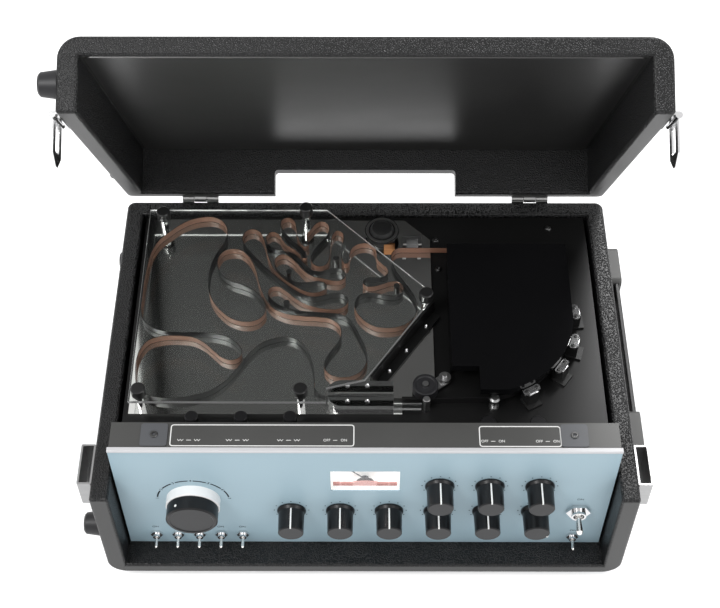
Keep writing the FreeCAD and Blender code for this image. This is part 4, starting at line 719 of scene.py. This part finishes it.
for x, z in ON_PLACES:
    letters(ink_mesh, "ON", ON_SIZE, INK, on_panel(x, z) @ Matrix.Translation((0, 0, INK_LIFT)))
keep_piece(ink_mesh, "panel_printing", dark_ink, "cabinet")
print("printed dots:", len(DOT_TURNS) * len(POT_PLACES))

# %% [markdown]
# The strip behind the panel carries two outlines with round corners, and under each end of it a square
# plate that its screw goes through. Only waves, dashes and the words OFF and ON are printed.

# %% Strip printing and plates
STRIP_TOP = 157.5
STRIP_FRAMES = [(-78.2, 35.9, 140.5, 19.5), (118.3, 35.3, 62.5, 18.6)]
STRIP_WORDS = [(-22.5, 31.6), (97.5, 31.0), (139.0, 31.0)]
WAVE_MARKS = [(-134.0, 31.6), (-97.0, 31.6), (-58.0, 31.6)]
STRIP_SCREWS = [(-160.8, 35.9), (159.7, 35.7)]
STRIP_INK = (STRIP_TOP + INK_LIFT, STRIP_TOP + INK)
STRIP_WORD_SIZE = 3.1
FRAME_CORNER = 2.4
FRAME_LINE = 0.8
WAVE_SHIFT = 6.4
WAVE_STROKES = 4
WAVE_PITCH = 1.1
WAVE_TILT = 52.0
PLATE_SIZE = (20.6, 20.0)
PLATE_CORNER = 2.2
PLATE_THICKNESS = 1.1
UP = Matrix.Identity(4)


def dash(bm, x, y, half_length, half_width):
    """A short line of ink on the strip."""
    bar(bm, x - half_length, x + half_length, y - half_width, y + half_width, *STRIP_INK, 0.02, UP)


strip_ink = bmesh.new()
for x, y in WAVE_MARKS:
    dash(strip_ink, x, y, 1.8, 0.25)
    for side in (-1, 1):
        for step in range(WAVE_STROKES):
            tilt = Matrix.Rotation(math.radians(WAVE_TILT if step % 2 else -WAVE_TILT), 4, "Z")
            stroke_x = x + side * WAVE_SHIFT + WAVE_PITCH * (step - (WAVE_STROKES - 1) / 2)
            place = Matrix.Translation((stroke_x, y, STRIP_TOP + INK_LIFT))
            bar(strip_ink, -1.0, 1.0, -0.22, 0.22, 0.0, INK, 0.02, place @ tilt)
for x, y, size_x, size_y in STRIP_FRAMES:
    card(strip_ink, size_x, size_y, FRAME_CORNER, INK, Matrix.Translation((x, y, STRIP_TOP + INK_LIFT)),
         line=FRAME_LINE)
for x, y in STRIP_WORDS:
    for shift, word in ((-6.4, "OFF"), (6.6, "ON")):
        letters(strip_ink, word, STRIP_WORD_SIZE, INK,
                Matrix.Translation((x + shift, y, STRIP_TOP + INK_LIFT)))
    dash(strip_ink, x, y, 1.6, 0.22)
keep_piece(strip_ink, "strip_printing", white_ink, "cabinet")
plate_mesh = bmesh.new()
for x, y in STRIP_SCREWS:
    card(plate_mesh, *PLATE_SIZE, PLATE_CORNER, PLATE_THICKNESS, Matrix.Translation((x, y, STRIP_TOP)))
keep_piece(plate_mesh, "strip_plates", slate_paint, "cabinet")
print("strip words:", len(STRIP_WORDS))

# %% [markdown]
# The meter's dial sits behind its window: a white back board with a scale arc, and close behind the glass
# a low sill with a red band and a dark cap over the needle's pivot. The white board, sill and housing
# carry a faint painted glow by emission.

# %% Meter dial
METER_X = 0.3
DIAL_FACE_Y = 33.6
SILL_FACE_Y = 25.2
NEEDLE_PIVOT_Z = 99.0
SCALE_TICKS = 21
TICK_TURN = 4.2
TICK_R = 15.0
LONG_TICK = 3.2
SHORT_TICK = 1.8
STANDING = Matrix.Rotation(math.radians(90), 4, "X")


def half_oval(bm, profile, y, z, width, depth, height):
    """A turned disc, flattened and stood upright in front of the dial."""
    stretch_to = Matrix.Diagonal((width, depth, height, 1))
    spun(bm, profile, Matrix.Translation((METER_X, y, z)) @ stretch_to @ STANDING, 48)


board = bmesh.new()
bar(board, METER_X - 25.0, METER_X + 25.0, DIAL_FACE_Y, 36.8, 99.5, 125.3, 0.3, UP)
bar(board, METER_X - 26.8, METER_X + 26.8, SILL_FACE_Y, 26.4, 97.6, 101.9, 0.2, UP)
keep_piece(board, "meter_board", dial_white_painted_glow, "cabinet")
arc = bmesh.new()
for index in range(SCALE_TICKS):
    turn = TICK_TURN * (index - (SCALE_TICKS - 1) / 2)
    tall = LONG_TICK if index % 5 == 0 else SHORT_TICK
    bar(arc, -0.16, 0.16, TICK_R, TICK_R + tall, 0.0, 0.25, 0.03,
        Matrix.Translation((METER_X, DIAL_FACE_Y, NEEDLE_PIVOT_Z)) @ STANDING
        @ Matrix.Rotation(math.radians(-turn), 4, "Z"))
keep_piece(arc, "meter_scale", dark_ink, "cabinet")
band = bmesh.new()
bar(band, METER_X - 25.6, METER_X + 25.6, SILL_FACE_Y, 26.3, 102.0, 106.4, 0.2, UP)
half_oval(band, [(0, 0), (1.0, 0), (1.0, 1.0), (0, 1.0)], 26.4, 102.2, 13.5, 1.1, 6.3)
keep_piece(band, "meter_band", dial_red, "cabinet")
cap = bmesh.new()
half_oval(cap, [(0, 0), (0.9, 0), (1.0, 0.3), (1.0, 1.0), (0, 1.0)], 27.9, 104.0, 7.2, 1.2, 7.4)
keep_piece(cap, "meter_cap", black_plastic, "cabinet")
print("meter ready")

# %% [markdown]
# Small screws and rivets are all turned from one profile: a low dome with a socket. They sit on the deck,
# the chute, the fence, the latches, the hinges and the handle.

# %% Screws and rivets
SCREW_PROFILE = [(0, 0.25), (0.42, 0.25), (0.42, 0.72), (0.62, 0.72), (0.9, 0.45), (1, 0.1), (1, -0.1),
                 (0, -0.1)]


def screw(bm, x, y, z, radius, facing=UP):
    """A domed head with a socket, its underside at a point, facing along z of a matrix."""
    profile = [(across * radius, up * radius) for across, up in SCREW_PROFILE]
    spun(bm, profile, Matrix.Translation((x, y, z)) @ facing, 20)


DECK_TOP = 117.0
BIN_TOP = 119.0
FACE_RIGHT = Matrix.Rotation(math.radians(90), 4, "Y")
FACE_LEFT = Matrix.Rotation(math.radians(-90), 4, "Y")
FACE_REAR = Matrix.Rotation(math.radians(-90), 4, "X")
CABINET_SIDE_X = 212.5
REAR_Y = 305.0
print("screw profile ready")

# %% Deck screws
DECK_SCREWS = [(184.0, 62.0), (-186.0, 62.0), (162.0, 276.0), (62.0, 262.0), (63.5, 230.0)]
CHUTE_SCREWS = [(-14.0, 99.5), (2.0, 99.5), (-14.0, 84.5), (2.0, 84.5)]
FENCE_SCREWS = [(20.2, 120.2), (34.3, 140.8), (51.1, 165.6)]
CHUTE_HEIGHT = 12.0
FENCE_FOOT_HEIGHT = 2.0
DECK_SCREW_R = 3.0
TRANSPORT_SCREW_R = 2.2
deck_mesh = bmesh.new()
for x, y in DECK_SCREWS:
    screw(deck_mesh, x, y, DECK_TOP, DECK_SCREW_R)
keep_piece(deck_mesh, "deck_screws", dark_screw, "cabinet")
bright_mesh = bmesh.new()
for x, y in CHUTE_SCREWS:
    screw(bright_mesh, x, y, BIN_TOP + CHUTE_HEIGHT, TRANSPORT_SCREW_R)
for x, y in FENCE_SCREWS:
    screw(bright_mesh, x, y, BIN_TOP + FENCE_FOOT_HEIGHT, TRANSPORT_SCREW_R)
keep_piece(bright_mesh, "transport_screws", chrome, "cabinet")
print("screws:", len(DECK_SCREWS) + len(CHUTE_SCREWS) + len(FENCE_SCREWS))

# %% [markdown]
# Each head is a black block with a bright bracket along its outer side, held by two small screws. The
# brackets stand on the arc of the heads, so one of them is made at a radius and turned to each bearing.

# %% Head brackets and guide ring
HEAD_ARC = (93.0, 166.0)
HEAD_BEARINGS = [4.4, -16.8, -36.1, -60.5]
HEAD_TOP = 132.0
BRACKET_R = 82.4
BRACKET_SIZE = (5.6, 15.0)
BRACKET_CORNER = 2.0
BRACKET_THICKNESS = 1.4
BRACKET_SCREWS_ALONG = (-4.6, 4.6)
BRACKET_SCREW_R = 1.7
GUIDE_ROLLER_PLACE = (14.8, 265.0, 0)
RING_PROFILE = [(11.6, 128.2), (14.0, 128.2), (13.8, 128.7), (11.8, 128.7), (11.6, 128.2)]
bracket_mesh = bmesh.new()
bracket_screws = bmesh.new()
for bearing in HEAD_BEARINGS:
    turn = Matrix.Translation((*HEAD_ARC, HEAD_TOP)) @ Matrix.Rotation(math.radians(bearing), 4, "Z")
    card(bracket_mesh, *BRACKET_SIZE, BRACKET_CORNER, BRACKET_THICKNESS,
         turn @ Matrix.Translation((BRACKET_R, 0, 0)))
    bar(bracket_mesh, BRACKET_R + 2.8, BRACKET_R + 4.0, -4.0, 4.0, -11.0, 0.8, 0.3, turn)
    for along in BRACKET_SCREWS_ALONG:
        x, y, z = turn @ Vector((BRACKET_R, along, BRACKET_THICKNESS))
        screw(bracket_screws, x, y, z, BRACKET_SCREW_R)
keep_piece(bracket_mesh, "head_brackets", chrome, "cabinet")
keep_piece(bracket_screws, "bracket_screws", dark_screw, "cabinet")
ring_mesh = bmesh.new()
spun(ring_mesh, RING_PROFILE, Matrix.Translation(GUIDE_ROLLER_PLACE), 48)
keep_piece(ring_mesh, "guide_ring", zinc, "guide_roller")
print("brackets:", len(HEAD_BEARINGS))

# %% Cabinet rivets
SIDES = ((1, FACE_RIGHT), (-1, FACE_LEFT))
HANDLE_RIVET_YS = (61.0, 85.0, 237.0, 261.0)
CATCH_RIVET_YS = (24.0, 44.0)
LATCH_RIVET_YS = (21.0, 47.0)
HINGE_XS = (-147.5, 147.5)
HINGE_RIVETS_ALONG = (-9.0, 0.0, 9.0)
HINGE_LEAF = 1.5
BASE_HINGE_Z = 103.0
LID_HINGE_Z = 138.0


def hinge_rivets(bm, z):
    for x in HINGE_XS:
        for along in HINGE_RIVETS_ALONG:
            screw(bm, x + along, REAR_Y + HINGE_LEAF, z, 2.4, FACE_REAR)


hardware = bmesh.new()
for y in HANDLE_RIVET_YS:
    screw(hardware, CABINET_SIDE_X + 12.0, y, 88.0, 3.2, FACE_RIGHT)
for side, facing in SIDES:
    for y in CATCH_RIVET_YS:
        screw(hardware, side * (CABINET_SIDE_X + 11.5), y, 95.0, 2.0, facing)
hinge_rivets(hardware, BASE_HINGE_Z)
keep_piece(hardware, "cabinet_rivets", zinc, "cabinet")
lid_hardware = bmesh.new()
for side, facing in SIDES:
    for y in LATCH_RIVET_YS:
        screw(lid_hardware, side * (CABINET_SIDE_X + 1.5), y, 129.4, 1.7, facing)
hinge_rivets(lid_hardware, LID_HINGE_Z)
keep_piece(lid_hardware, "lid_rivets", zinc, "lid", OPEN_LID)
print("rivets ready")

# %% [markdown]
# The floor is pale and wide. It mixes a diffuse surface, which takes the object's shadow, with a little
# white that only the camera, mirrors and glass see, so the backdrop is white as in the photograph.

# %% Floor
FLOOR_HALF = 6.0
FLOOR_GLOW = 0.42
floor_material = bpy.data.materials.new("floor")
floor_material.use_nodes = True
floor_tree = floor_material.node_tree
floor_shader = floor_tree.nodes["Principled BSDF"]
floor_shader.inputs["Base Color"].default_value = (0.8, 0.8, 0.8, 1)
floor_shader.inputs["Roughness"].default_value = 0.9
floor_shader.inputs["Emission Color"].default_value = (1, 1, 1, 1)
floor_tree.links.new(between(floor_tree, seen_directly(floor_tree), 0.0, FLOOR_GLOW),
                     floor_shader.inputs["Emission Strength"])
floor_mesh = bmesh.new()
bmesh.ops.create_grid(floor_mesh, x_segments=1, y_segments=1, size=FLOOR_HALF)
floor_data = bpy.data.meshes.new("floor")
floor_mesh.to_mesh(floor_data)
floor_mesh.free()
floor_data.materials.append(floor_material)
floor = bpy.data.objects.new("floor", floor_data)
bpy.context.scene.collection.objects.link(floor)
print("floor half width:", FLOOR_HALF)
